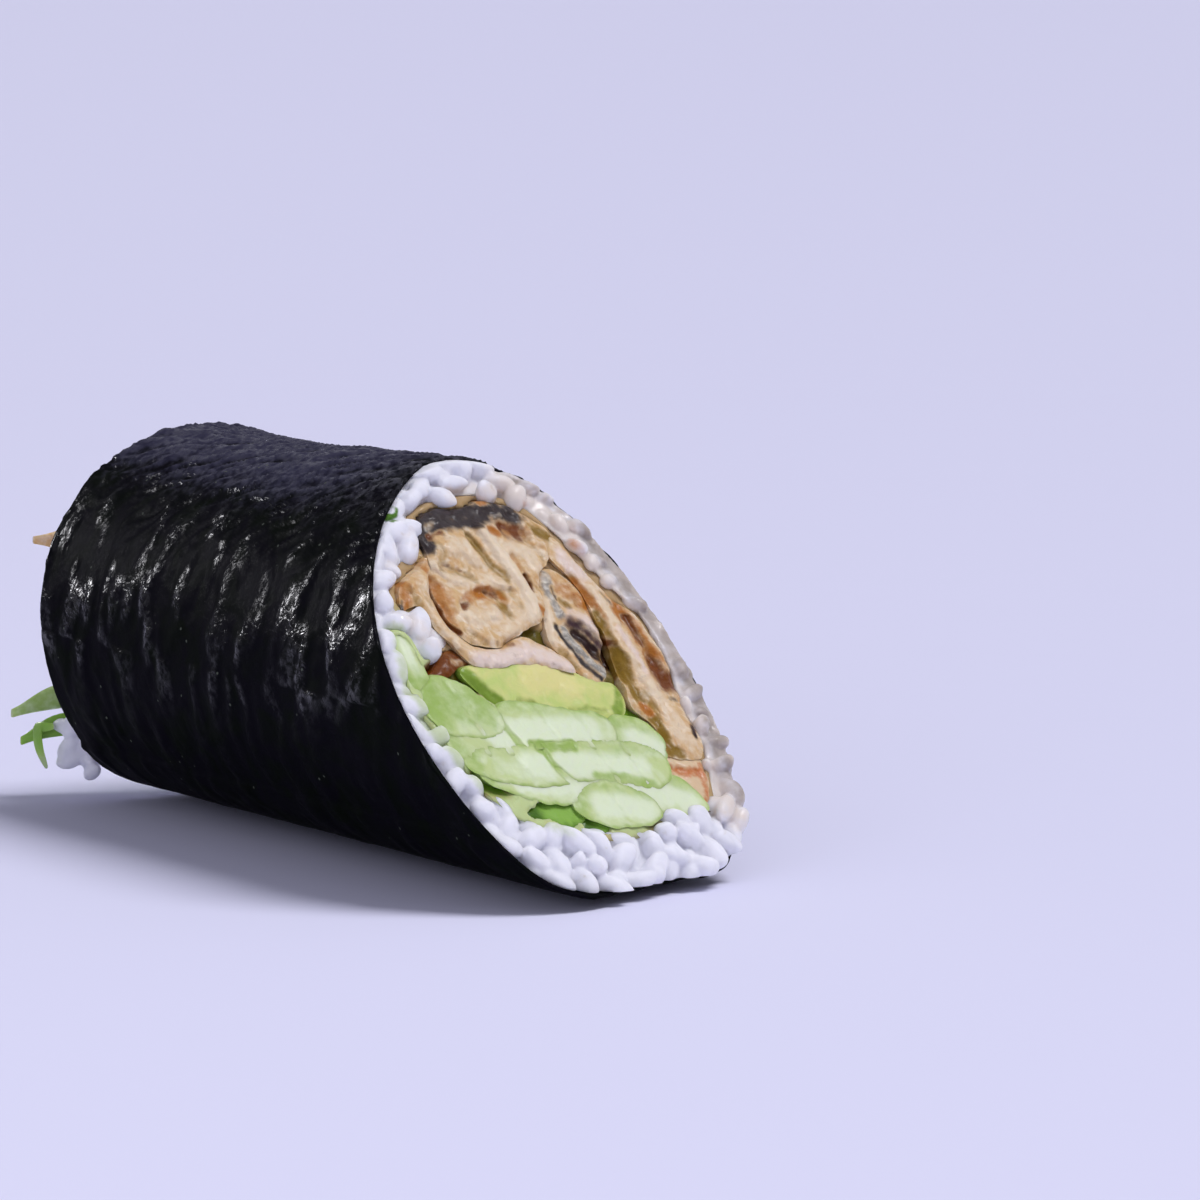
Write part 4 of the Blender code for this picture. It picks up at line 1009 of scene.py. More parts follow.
def add_piece(name, points, faces, material, replaced, tones=None, crisp=math.pi):
    """A smooth mesh of points and faces that rides on the roll and stands for the solids that it replaces.

    Each tone becomes an attribute. Edges that turn by more than the crisp angle stay sharp.
    """
    mesh = bpy.data.meshes.new(name)
    mesh.from_pydata(np.asarray(points).tolist(), [], [list(face) for face in faces])
    mesh.materials.append(material)
    for tone, values in (tones or {}).items():
        attribute = mesh.attributes.new(tone, "FLOAT", "POINT")
        attribute.data.foreach_set("value", np.asarray(values, np.float32))
    body = bmesh.new()
    body.from_mesh(mesh)
    bmesh.ops.recalc_face_normals(body, faces=body.faces[:])
    body.to_mesh(mesh)
    body.free()
    mesh.shade_smooth()
    mesh.set_sharp_from_angle(angle=crisp)
    piece = add_object(name, mesh)
    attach(piece, "root")
    if replaced:
        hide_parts(*replaced)
    return piece


def skin_faces(rows, count, closed=False):
    """The quads between rows of points, each row a ring; closed joins the last row to the first."""
    faces = []
    for row in range(rows if closed else rows - 1):
        start, after = row * count, (row + 1) % rows * count
        for i in range(count):
            j = (i + 1) % count
            faces.append((start + i, start + j, after + j, after + i))
    return faces


def girth_relief(points, angle, settings):
    """The wrap's relief at each point, how glossy it is there, and how strongly its painted sheen lightens
    it.

    Wide dents carry ribs round the girth, slanting creases that are strong on top, and a fine crumple.
    They fade out at the flat underside, where the sheet lies double.
    """
    flat = points.reshape(-1, 3)
    turn = angle.ravel()
    up = np.sin(turn)
    x, z = flat[:, 0], flat[:, 2]
    girth = turn * ROLL_RADIUS
    fade = ease(z / RELIEF_FADE)
    on_top = ease((up - 0.45) / 0.4)
    warp = WARP * lumps(flat, WARP_SIZE, seed=3)

    dents = DENT_DEPTH * (lumps(flat, DENT_SIZE) + 0.5 * lumps(flat * 2.3, DENT_SIZE)) * fade
    dents = np.maximum(-DEEPEST_DENT, dents)
    rib = lumps(np.stack([(x + warp) / settings.rib_spacing, girth / RIB_LENGTH], axis=1), 1.0, seed=5)
    ribs = settings.rib_height * rib * (1 - 0.65 * on_top)
    run = x * math.cos(CREASE_SLANT) + girth * math.sin(CREASE_SLANT)
    across = girth * math.cos(CREASE_SLANT) - x * math.sin(CREASE_SLANT) + warp
    crease_places = np.stack([run / CREASE_LENGTH, across / settings.crease_spacing, 0 * x + 4], axis=1)
    wrinkles = ridges(crease_places, 1.0, seed=7, power=0.8)
    creases = settings.crease_height * wrinkles * (0.1 + 0.9 * on_top)
    crumple = 0.08 * MM * lumps(flat, 1.7 * MM, seed=9) + 0.06 * MM * ridges(flat, 1.1 * MM, seed=11)
    relief = np.maximum(dents + (ribs + creases + crumple) * fade - RELIEF_SUNK, RELIEF_FLOOR)
    degrees = np.degrees(turn)
    double = ease((degrees - OVERLAP_FROM) / 1.5) * (1 - ease((degrees - OVERLAP_TO) / 2))

    # The ribs shine in patches on the sides, and the creases on the crown, which also get a painted blue-grey
    # sheen that fades towards the cut
    gloss = ease((rib - 0.06) / 0.3) * (0.25 + 0.75 * ease(0.5 + 1.5 * lumps(flat, 9 * MM, seed=13)))
    gloss *= 0.05 + 0.95 * ease((up + 0.25) / 0.3) * (1 - 0.8 * on_top)
    crown = ease((up - 0.7) / 0.3)
    gloss = np.maximum(gloss, crown * (0.6 + 0.6 * wrinkles))
    crown_sheen = crown * ease(0.6 + 0.6 * wrinkles) * (1 - 0.75 * ease((x + 10 * MM) / (30 * MM)))
    return (relief + settings.overlap_step * double).reshape(angle.shape), gloss, crown_sheen


def far_side(angles):
    """1 where the wrap has drawn back behind the rice, over the top and down the right of the cut."""
    return ease((np.cos(angles) + 0.5) / 0.6)


class EELROLL_OT_nori(bpy.types.Operator):
    """Wrap the roll in one thin, crinkled seaweed sheet that lies double under it"""
    bl_idname = "eelroll.nori"
    bl_label = "Wrap nori"

    def execute(self, context):
        settings = context.scene.eelroll_nori
        angles = full_turn(NORI_SIDES)
        along, angle = np.meshgrid(np.linspace(0, 1, NORI_ROWS), angles, indexing="ij")
        plain = roll_skin(along, angle, 0.0)
        relief, gloss, crown_sheen = girth_relief(plain, angle, settings)
        outer = roll_skin(along, angle, 0.0, relief)
        ragged = 0.25 * MM * lumps(np.stack([angles * 9, 0 * angles], axis=1), 1.0, seed=2)
        outer[0, :, 0] += ragged + 0.3 * MM * lumps(outer[0], 1.2 * MM, seed=4)
        lower = 1 + 0.25 * ease((-0.2 - np.sin(angles)) / 0.5)
        drawn = settings.shrink * far_side(angles) * lower * (1 + 0.4 * lumps(outer[-1], 3 * MM, seed=6))
        drawn += 0.12 * MM * lumps(outer[-1], 1.5 * MM, seed=6)
        outer[:, :, 0] -= drawn * ease((along - 0.9) / 0.1)
        along, angle = np.meshgrid(np.linspace(1, 0, NORI_INNER_ROWS) ** 2, angles, indexing="ij")
        inner = roll_skin(along, angle, settings.thickness)
        inner[0] = outer[-1] + (inner[0] - outer[-1]) * [0.2, 1, 1]
        inner[-1, :, 0] = outer[0, :, 0]
        points = np.concatenate([outer.reshape(-1, 3), inner.reshape(-1, 3)])
        faces = skin_faces(NORI_ROWS + NORI_INNER_ROWS, NORI_SIDES, closed=True)
        points[:, 2] = np.maximum(points[:, 2], 0)
        under = np.zeros(len(points) - len(gloss))
        tones = {"gloss": np.concatenate([gloss, under]), "crown_sheen": np.concatenate([crown_sheen, under])}
        add_piece("nori_sheet", points, faces, toasted_nori(settings), ["nori_wrap"], tones)
        return {"FINISHED"}


def core_ring(along, depth):
    """The ring of the rice's outside at one share of the way from the back rim to the cut."""
    angles = full_turn(CORE_SIDES)
    return roll_skin(np.full(len(angles), float(along)), angles, depth)


class EELROLL_OT_rice(bpy.types.Operator):
    """Press the rice round the fillings, with its grains showing on both ends"""
    bl_idname = "eelroll.rice"
    bl_label = "Press rice"

    def execute(self, context):
        settings = context.scene.eelroll_rice
        depth = context.scene.eelroll_nori.thickness + UNDER_NORI
        material = cooked_rice(settings)
        hollow = smooth_outline(RICE_HOLLOW)
        ball = unit_ball()
        draw = np.random.default_rng(GRAIN_SEED)
        core = ring_body(
            hollow, depth, lambda y, z: back_x(y, z) + CORE_INSET, lambda y, z: cut_x(y, z) - CORE_INSET)
        add_rice("rice_core", *core, material)
        slab = ring_body(hollow, depth, lambda y, z: cut_x(y, z) - SLAB_DEPTH, cut_rice_x)
        grains = set_grains(ball, hollow, depth, settings, draw, 1, cut_x, CUT_LAYERS)
        add_rice("rice_cut", *fused([slab, *grains], CUT_RICE_VOXEL), material)
        slab = ring_body(
            hollow, depth, lambda y, z: rice_back_x(y, z) + BACK_SLAB_SUNK,
            lambda y, z: back_x(y, z) + SLAB_DEPTH)
        grains = set_grains(ball, hollow, depth, settings, draw, 0, rice_back_x, BACK_LAYERS)
        grains += spilled_grains(ball, settings, draw)
        add_rice("rice_back", *fused([slab, *grains], BACK_RICE_VOXEL), material)
        return {"FINISHED"}


def glassy_side(y, z):
    """1 on the right of the cut, where the rice is pressed into one wet mass."""
    return ease((y - 6 * MM) / (10 * MM)) * ease((z - 6 * MM) / (8 * MM))


def flush_side(y, z):
    """1 on the left of the cut, where the knife has left the rice nearly flat."""
    return ease((-8 * MM - y) / (8 * MM)) * ease((z - 12 * MM) / (8 * MM))


def cut_rice_x(y, z):
    """Where the bed of the grains stands behind the cut, nearer to it where the rice is pressed."""
    glassy = glassy_side(y, z)
    sunk = (2.0 - 1.3 * glassy - 0.9 * flush_side(y, z)) * MM
    uneven = (0.25 + 0.35 * glassy) * lumps(np.stack([y, z], axis=1), 2.0 * MM, seed=1)
    return cut_x(y, z) - sunk + uneven * MM


def add_rice(name, points, faces, material):
    """One piece of the rice, with its stains, wet where they are."""
    _, tones = marks_at(points[:, 1:], RICE_MARKS)
    tones["wet"] = np.maximum(tones["stain"], tones["thin"])
    add_piece(name, points, faces, material, ["rice"], tones)


def joined(bodies):
    """The points and faces of several bodies as one list each."""
    points, faces = [], []
    count = 0
    for spots, corners in bodies:
        points.append(spots)
        faces += [[count + i for i in face] for face in corners]
        count += len(spots)
    return np.concatenate(points), faces


def fused(bodies, voxel):
    """Overlapping bodies grown into one skin, with soft creases where they met."""
    points, faces = joined(bodies)
    mesh = bpy.data.meshes.new("overlapping")
    mesh.from_pydata(points.tolist(), [], faces)
    shell = add_object("overlapping", mesh)
    remesh = shell.modifiers.new("fuse", "REMESH")
    remesh.mode = "VOXEL"
    remesh.voxel_size = voxel
    smooth = shell.modifiers.new("soften", "SMOOTH")
    smooth.factor = 0.4
    smooth.iterations = 1
    whole = shell.evaluated_get(bpy.context.evaluated_depsgraph_get()).to_mesh()
    spots = np.array([vert.co for vert in whole.vertices])
    corners = [list(face.vertices) for face in whole.polygons]
    bpy.data.objects.remove(shell)
    bpy.data.meshes.remove(mesh)
    return spots, corners


def capped(points, faces, rims, loops, step, seed, end_x):
    """Points and faces with one end closed, an outline and its holes whose points are already there.

    rims holds the first point of each loop, and end_x says where the end stands at a point of the section.
    """
    spots, corners = fill_outline(loops[0], loops[1:], step, seed)
    rim = [first + np.arange(len(loop)) for first, loop in zip(rims, loops)]
    index = np.concatenate([*rim, len(points) + np.arange(len(spots))])
    points = np.concatenate([points, np.column_stack([end_x(*spots.T), spots])])
    return points, faces + [tuple(index[face]) for face in corners]


def ring_body(hollow, depth, start_x, end_x):
    """A body between the nori and the hollow that runs from one end surface to another.

    The roll's skin gives a ring its section, and the section moves its ends: a few rounds settle both.
    """
    angles = full_turn(CORE_SIDES)
    shares = np.linspace(0, 1, CORE_ROWS)
    back, front = core_ring(0, depth), core_ring(1, depth)
    rings = []
    for share in shares:
        ring = back + (front - back) * share
        for _ in range(3):
            start, end = start_x(*ring[:, 1:].T), end_x(*ring[:, 1:].T)
            x = start + (end - start) * share
            low, high = back_x(*ring[:, 1:].T), cut_x(*ring[:, 1:].T)
            ring = roll_skin(np.clip((x - low) / (high - low), 0, 1), angles, depth)
        ring[:, 0] = start_x(*ring[:, 1:].T) * (1 - share) + end_x(*ring[:, 1:].T) * share
        rings.append(ring)
    start, end = start_x(*hollow.T), end_x(*hollow.T)
    tube = [np.column_stack([start + (end - start) * share, hollow]) for share in shares]
    points = np.concatenate(rings + tube)
    faces = skin_faces(CORE_ROWS, CORE_SIDES)
    first = CORE_ROWS * CORE_SIDES
    faces += [tuple(first + i for i in face[::-1]) for face in skin_faces(CORE_ROWS, len(hollow))]
    for row, place, seed in ((CORE_ROWS - 1, end_x, 3), (0, start_x, 4)):
        rims = (row * CORE_SIDES, first + row * len(hollow))
        loops = (rings[row][:, 1:], hollow)
        points, faces = capped(points, faces, rims, loops, CORE_CAP_STEP, seed, place)
    return points, faces


def scatter(outline, hollow, margin, spacing, stretch, seed):
    """Spots between an outline and a hollow, no two closer than the spacing on the slanted face."""
    draw = np.random.default_rng(seed)
    low, high = outline.min(axis=0), outline.max(axis=0)
    tries = draw.uniform(low, high, (SPOT_TRIES, 2))
    tries = tries[(depth_inside(tries, outline) > margin) & (depth_inside(tries, hollow) < -margin)]
    kept = []
    for spot in tries:
        if kept:
            gap = np.array(kept) - spot
            if np.hypot(gap[:, 0], gap[:, 1] * stretch).min() < spacing:
                continue
        kept.append(spot)
    return np.array(kept)


def unit_ball():
    """The points and faces of a ball of radius 1."""
    ball = bmesh.new()
    bmesh.ops.create_icosphere(ball, subdivisions=3, radius=1)
    points = np.array([vert.co for vert in ball.verts])
    faces = [[vert.index for vert in face.verts] for face in ball.faces]
    ball.free()
    return points, faces


def grain_points(ball, place, long_way, settings, draw, size=1.0):
    """One cooked grain: a plump spindle with blunt ends, slightly bent, uneven and turned at random."""
    length = settings.grain_length * size * draw.uniform(0.82, 1.08) / 2
    width = settings.grain_width * size * draw.uniform(0.88, 1.12) / 2
    run = ball[:, 2]
    plump = width * (1 + 0.10 * run - 0.12 * run ** 2)
    blunt = np.abs(run) ** 0.85 * np.sign(run)
    side = draw.uniform(0.82, 0.95)
    points = np.stack([ball[:, 0] * plump, ball[:, 1] * plump * side, blunt * length], axis=1)
    points[:, 0] += draw.uniform(-0.18, 0.18) * width * 2 * run ** 2
    points *= 1 + 0.06 * lumps(ball + draw.uniform(0, 50), 0.7)[:, None]
    spin = draw.uniform(0, math.tau)
    y = points[:, 0] * math.cos(spin) - points[:, 1] * math.sin(spin)
    points[:, 1] = points[:, 0] * math.sin(spin) + points[:, 1] * math.cos(spin)
    points[:, 0] = y
    turn = np.array(Vector((0, 0, 1)).rotation_difference(Vector(long_way)).to_matrix())
    return points @ turn.T + place


def press_into_roll(points, depth, hollow, along):
    """Flatten grains where they meet the nori and the fillings.

    Past the nori's drawn-back edge they may swell to where its outside would be. They overlap the
    fillings by up to a millimetre, as the soft rice takes their shape.
    """
    height = points[:, 2] + SETTLE - AXIS_HEIGHT * swell(along)
    angle = np.arctan2(height, points[:, 1])
    past_nori = ease((points[:, 0] - cut_x(*points[:, 1:].T)) / (0.8 * MM) + 2.2) * far_side(angle)
    limit = roll_radius(angle, along) - depth * (1 - 0.9 * past_nori * along)
    radius = np.hypot(points[:, 1], height)
    scale = np.where(radius > limit, limit / radius, 1)
    points[:, 1] *= scale
    points[:, 2] += height * (scale - 1)
    points[:, 2] = np.maximum(points[:, 2], depth)
    inside = depth_inside(points[:, 1:], hollow) - 1.0 * MM
    sunk = inside > 0
    if sunk.any():
        away = points[sunk, 1:] - [0, AXIS_HEIGHT]
        away /= np.linalg.norm(away, axis=1)[:, None]
        points[sunk, 1:] += away * (0.75 * inside[sunk])[:, None]
    return points


def set_grains(ball, hollow, depth, settings, draw, along, end, layers):
    """Grains of rice over one end of the roll, pressed between the nori and the fillings.

    along is 1 at the cut and 0 at the back. Grains lie across the end more than along the roll. On the
    cut's glassy side they are smaller and flatter, and on its flush side the knife has cut them lower.
    """
    if along:
        out, stretch, margin, spacing = 1, CUT_STRETCH, 0.25 * MM, settings.spacing
        face = np.array([1, CUT_SIDE_SLOPE, CUT_RISE_SLOPE])
    else:
        out, stretch, margin, spacing = -1, 1, 0.8 * MM, 1.25 * settings.spacing
        face = np.array([1, 0, BACK_LEAN])
        depth += 0.5 * MM
    face = face / np.linalg.norm(face)
    outline = core_ring(along, depth)[:, 1:]
    grains = []
    for sunk, seed in layers:
        for y, z in scatter(outline, hollow, margin, spacing, stretch, seed):
            long_way = draw.normal(size=3)
            long_way -= 0.4 * (long_way @ face) * face
            glassy, flush = along * float(glassy_side(y, z)), along * float(flush_side(y, z))
            if depth_inside(np.array([[y, z]]), outline)[0] < 0.45 * MM * glassy:
                continue
            rise = draw.uniform(-0.6, 0.4) * MM * (1 - 0.5 * max(glassy, flush)) + 0.1 * MM * glassy
            place = np.array([end(y, z) - out * (sunk - rise), y, z])
            points = grain_points(ball[0], place, long_way, settings, draw, 1 - 0.25 * glassy)
            points = press_into_roll(points, depth, hollow, along)
            proud = out * (points[:, 0] - end(*points[:, 1:].T))
            limit = (0.6 - 0.25 * glassy - 0.3 * flush) * MM
            flat = np.where(proud > limit, limit + (0.5 + 0.25 * glassy) * (proud - limit), proud)
            points[:, 0] += out * (flat - proud)
            grains.append((points, ball[1]))
    return grains


def spilled_grains(ball, settings, draw):
    """Grains that have slid out of the back end at its near lower corner."""
    grains = []
    for y, z, reach in SPILL:
        for _ in range(SPILL_COUNT):
            spot = np.array([back_x(y, z) - reach, y, z]) + draw.uniform(-1.0, 1.0, 3) * MM
            points = grain_points(ball[0], spot, draw.normal(size=3), settings, draw, 0.85)
            points[:, 2] = np.maximum(points[:, 2], 0.1 * MM)
            points[:, 0] = np.maximum(points[:, 0], SPILL_LIMIT_X)
            grains.append((points, ball[1]))
    return grains


def tail_rings(outline, path, width, height):
    """Rings past the back rim that lead a filling's loose end out along its tail, to a blunt tip.

    Their section turns from the filling's into a rounded rectangle of the tail's width and height.
    """
    centre = outline.mean(axis=0)
    first = math.atan2(outline[0, 1] - centre[1], outline[0, 0] - centre[0])
    after = np.roll(outline, -1, axis=0)
    area = np.sum(outline[:, 0] * after[:, 1] - after[:, 0] * outline[:, 1])
    angles = first + math.copysign(math.tau, area) * np.arange(len(outline)) / len(outline)
    square = np.stack([np.cos(angles), np.sin(angles)], axis=1)
    square = np.sign(square) * np.abs(square) ** 0.6 * [width, height] * MM / 2
    knots = np.array([(0.0, *(centre / MM)), *path])
    rings = []
    steps = (len(knots) - 1) * TAIL_FINENESS
    for step in range(1, steps + 1):
        share = step / steps
        run, y, z = smooth_at(knots, step / TAIL_FINENESS)
        middle = centre + (np.array([y, z]) * MM - centre) * share ** TAIL_SLIDE
        tip = square * (1 - 0.6 * ease((share - 0.7) / 0.3))
        spots = middle + (outline - centre) + (tip - (outline - centre)) * share ** TAIL_SHRINK
        x = back_x(*centre) + run * MM
        rings.append(np.column_stack([np.full(len(spots), x), spots]))
    return rings


def fan(first, count, tip):
    """Triangles from a ring of points to one point."""
    return [(first + i, first + (i + 1) % count, tip) for i in range(count)]


def shred(path):
    """A loose flat shred along a path, narrow at both ends, about 2 mm wide and 1 mm thick."""
    knots = np.array(path)
    angles = np.arange(SHRED_SIDES) * math.tau / SHRED_SIDES
    section = np.stack([np.cos(angles), 0.3 * np.cos(angles), np.sin(angles)], axis=1)
    section = np.sign(section) * np.abs(section) ** 0.7 * [1.1, 0.5, 0.9]
    rows = []
    for share in np.linspace(0, 1, SHRED_ROWS):
        middle = smooth_at(knots, share * (len(knots) - 1))
        rows.append((middle + section * (0.15 + 0.85 * math.sin(math.pi * (0.15 + 0.75 * share)))) * MM)
    points = np.concatenate([*rows, rows[0].mean(axis=0)[None], rows[-1].mean(axis=0)[None]])
    tip = SHRED_ROWS * SHRED_SIDES
    faces = skin_faces(SHRED_ROWS, SHRED_SIDES)
    faces += fan(0, SHRED_SIDES, tip) + fan(tip - SHRED_SIDES, SHRED_SIDES, tip + 1)
    return points, faces


def flake_relief(places):
    """The uneven break of cooked flesh: lumps, thin layers and crumbs."""
    y, z = places.T
    run = (y + 0.4 * z) / (0.8 * MM) + 0.8 * lumps(places, 2.5 * MM, seed=4)
    layers = np.stack([run, z / (3 * MM)], axis=1)
    relief = 0.38 * MM * lumps(places, 2.8 * MM) + 0.16 * MM * ridges(places, 1.5 * MM, seed=3)
    return relief + 0.12 * MM * lumps(layers, 1.0, seed=5) + 0.08 * MM * lumps(places, 0.7 * MM, seed=6)


def firm_relief(places):
    """The cut of raw vegetable shreds, in narrow facets that run up and down."""
    y, z = places.T
    facets = ridges(np.stack([(y + 0.3 * z) / (2.1 * MM), z / (9 * MM)], axis=1), 1.0, seed=12)
    facets *= ease(0.5 + 1.2 * lumps(places, 4 * MM, seed=14))
    relief = 0.09 * MM * facets + 0.35 * MM * lumps(places, 4.5 * MM, seed=8)
    return relief + 0.06 * MM * lumps(places, 1.1 * MM, seed=9)


def soft_relief(places):
    """The smooth, dented cut of soft flesh."""
    return 0.4 * MM * lumps(places, 3.5 * MM, seed=8) + 0.07 * MM * lumps(places, 1.0 * MM, seed=9)


def long_axis(outline):
    """The middle of an outline and the direction across its length, turned upwards."""
    middle = outline.mean(axis=0)
    _, ways = np.linalg.eigh(np.cov((outline - middle).T))
    across = ways[:, 0]
    return middle, across * (1 if across[1] > 0 else -1)


def outward(outline):
    """The direction away from the inside at each point of a closed outline."""
    along = np.roll(outline, -1, axis=0) - np.roll(outline, 1, axis=0)
    sides = np.stack([along[:, 1], -along[:, 0]], axis=1)
    sides /= np.linalg.norm(sides, axis=1)[:, None]
    twice_area = np.sum(outline[:, 0] * along[:, 1] - outline[:, 1] * along[:, 0])
    return sides * (1 if twice_area > 0 else -1)


def add_filling(name, shape, material, relief, round_edge, marks=(), tilt=0.0, grow=0.0):
    """One filling that runs through the roll, with relief and tones on its cut.

    Its outline wavers a little and grows outwards by grow, and the rim of its cut rounds off by
    round_edge. A tilt leans the cut so that the filling's upper side lies deeper than its lower one.
    """
    short, out = (value * MM for value in REACH[name])
    outline = smooth_outline(shape)
    outline += 0.22 * MM * np.stack([lumps(outline, 1.3 * MM, seed=seed) for seed in (21, 22)], axis=1)
    middle, across = long_axis(outline)
    outline += grow * outward(outline)

    def edge_drop(places):
        edge = np.maximum(depth_inside(places, outline), 0)
        return round_edge * (1 - ease(edge / (2.2 * round_edge))) ** 2

    def front(y, z):
        places = np.stack([y, z], axis=1)
        rise, _ = marks_at(places, marks)
        rise = rise + relief(places) - edge_drop(places) - tilt * ((places - middle) @ across)
        return cut_x(y, z) - short + rise

    def back(y, z):
        places = np.stack([y, z], axis=1)
        return back_x(y, z) - out + relief(places + 7 * MM) * 0.6 + edge_drop(places)

    count = len(outline)
    front_x, rim_back = front(*outline.T), back(*outline.T)
    rows = [np.column_stack([front_x - depth, outline]) for depth in NEAR_CUT_ROWS]
    inner_x = front_x - NEAR_CUT_ROWS[-1]
    for share in np.linspace(0, 1, WALL_ROWS + 1)[1:]:
        rows.append(np.column_stack([inner_x + (rim_back - inner_x) * share, outline]))
    if name in TAILS:
        rows += tail_rings(outline, *TAILS[name])
    faces = skin_faces(len(rows), count)
    points, faces = capped(np.concatenate(rows), faces, [0], [outline], CAP_STEP, 3, front)
    last = (len(rows) - 1) * count
    if name in TAILS:
        faces += fan(last, count, len(points))
        points = np.concatenate([points, points[last:last + count].mean(axis=0)[None]])
    else:
        points, faces = capped(points, faces, [last], [outline], BACK_CAP_STEP, 4, back)
    if name in LOOSE:
        points, faces = joined([(points, faces), shred(LOOSE[name])])

    places = points[:, 1:]
    _, tones = marks_at(places, marks)
    # Painted light: tails past the back rim take the lighter middle tone, lifting them out of the shade they
    # lie in
    if name in TAILS:
        past = (back_x(*places.T) - points[:, 0]) / (2 * MM)
        tones["seed"] = np.maximum(tones.get("seed", 0), ease(past))
    # Painted shade: the flesh darkens wherever its relief sinks into a hollow
    tones["cleft_shade"] = 0.8 * ease((-0.02 * MM - relief(places)) / (0.25 * MM))
    # Cucumbers turn green along their whole outline: partly their own green, partly painted shade at the
    # seams
    if name in CUCUMBER:
        rim = ease(1 - depth_inside(places, outline) / (0.8 * MM))
        tones["rim"] = np.maximum(tones["rim"], 0.7 * rim)
    add_piece(name + "_flesh", points, faces, material, [name], tones, CRISP_ANGLE)


class EELROLL_OT_eel(bpy.types.Operator):
    """Lay in the rolled, folded and cut eel, its browned edge and the piece of fish"""
    bl_idname = "eelroll.eel"
    bl_label = "Lay in eel"

    def execute(self, context):
        settings = context.scene.eelroll_eel
        eel, fish = grilled_eel(settings), poached_fish(settings)
        for name, shape in EEL.items():
            material = fish if name == "fish_piece" else eel
            add_filling(
                name, shape, material, flake_relief, round_edge=0.4 * MM, marks=MARKS[name])
        return {"FINISHED"}


def strip_marks(shape):
    """A strip's tones: green along its upper side and at its left end, partly its own green and partly
    painted shade, and watery along its middle.
    """
    outline = smooth_outline(shape)
    middle, across = long_axis(outline)
    way = np.array([across[1], -across[0]])
    runs = (outline - middle) @ way
    lifts = (outline - middle) @ across
    left, right, top = middle + way * runs.min(), middle + way * runs.max(), across * lifts.max()
    thickness = (lifts.max() - lifts.min()) / MM

    def path(*places):
        return [tuple(place / MM) for place in places]

    return [
        Mark("seed", path(middle + way * runs.min() * 0.4, middle + way * runs.max() * 0.7), 0.4 * thickness),
        Mark("rim", path(left + top, middle + top, right + top * 0.6), 0.22 * thickness + 0.35, 0, 0.4),
        Mark("rim", path(left - top * 0.6, left + top * 0.6), 3.2, -0.06, 0.6),
    ]


class EELROLL_OT_greens(bpy.types.Operator):
    """Lay in the slice of avocado, the cucumber strips and the bits of peel"""
    bl_idname = "eelroll.greens"
    bl_label = "Lay in greens"

    def execute(self, context):
        settings = context.scene.eelroll_greens
        ripe = fresh_cut(
            "ripe avocado", settings.avocado, {"core": settings.core, "rim": settings.avocado_rim},
            wetness=0.15, pulp=0.9 * MM)
        crisp = fresh_cut(
            "crisp cucumber", settings.cucumber, {"seed": settings.seed, "rim": settings.cucumber_rim_shade},
            wetness=0.12, pulp=1.3 * MM)
        skin = fresh_cut(
            "cucumber peel", settings.peel_light, {"seed": settings.peel_backlit, "rim": settings.peel},
            wetness=0.15, pulp=0.7 * MM)
        add_filling(
            "avocado", AVOCADO, ripe, soft_relief, round_edge=0.5 * MM, marks=MARKS["avocado"],
            grow=0.15 * MM)
        for name, shape in CUCUMBER.items():
            marks = strip_marks(shape) + SEAMS.get(name, [])
            add_filling(
                name, shape, crisp, firm_relief, round_edge=0.1 * MM, marks=marks, tilt=0.02,
                grow=0.38 * MM)
        for name, shape in PEEL.items():
            add_filling(
                name, shape, skin, soft_relief, round_edge=0.3 * MM, marks=strip_marks(shape),
                tilt=0.1, grow=0.15 * MM)
        return {"FINISHED"}


class EELROLL_OT_sauce(bpy.types.Operator):
    """Fill the gaps between the fillings with sauce and juice, a little below the cut"""
    bl_idname = "eelroll.sauce"
    bl_label = "Pour sauce"

    def execute(self, context):
        outline = smooth_outline(RICE_HOLLOW, GAP_OUTLINE_STEP)
        spots, corners = fill_outline(outline, [], GAP_STEP, 6)
        places = np.vstack([outline, spots])
        # The darker tones, which stand deeper, are partly painted shade in the gaps
        _, tones = marks_at(places, GAP_MARKS)
        wavy = 0.25 * MM * lumps(places, 1.6 * MM, seed=31)
        depth = PLAIN_DEPTH * MM + wavy
        for name, values in tones.items():
            depth += (GAP_DEPTH[name] - PLAIN_DEPTH) * MM * values
        for shape in [*EEL.values(), AVOCADO, *CUCUMBER.values(), *PEEL.values()]:
            depth += UNDER_FLESH * MM * ease(depth_inside(places, smooth_outline(shape)) / (0.7 * MM))
        front = np.column_stack([cut_x(*places.T) - depth, places])
        back = np.column_stack([back_x(*places.T) + CORE_INSET + wavy, places])
        points = np.concatenate([front, back])
        count = len(places)
        faces = [tuple(face) for face in corners]
        faces += [tuple(face[::-1] + count) for face in corners]
        rim = len(outline)
        faces += [(i, (i + 1) % rim, (i + 1) % rim + count, i + count) for i in range(rim)]
        tones = {name: np.concatenate([values, values]) for name, values in tones.items()}
        material = gap_juice(context.scene.eelroll_sauce)
        add_piece("filling_sauce", points, faces, material, [], tones)
        return {"FINISHED"}


def facing(way):
    """The turn that points a lamp or a camera along a direction."""
    return Vector(way).to_track_quat("-Z", "Y").to_euler()


def soft_light(name, place, target, size, power, colour):
    """A large rectangular light that faces a target."""
    light = bpy.data.lights.new(name, "AREA")
    light.shape = "RECTANGLE"
    light.size, light.size_y = size
    light.energy = power
    light.color = colour[:3]
    lamp = add_object(name, light)
    lamp.location = place
    lamp.rotation_euler = facing(Vector(target) - Vector(place))
    return lamp


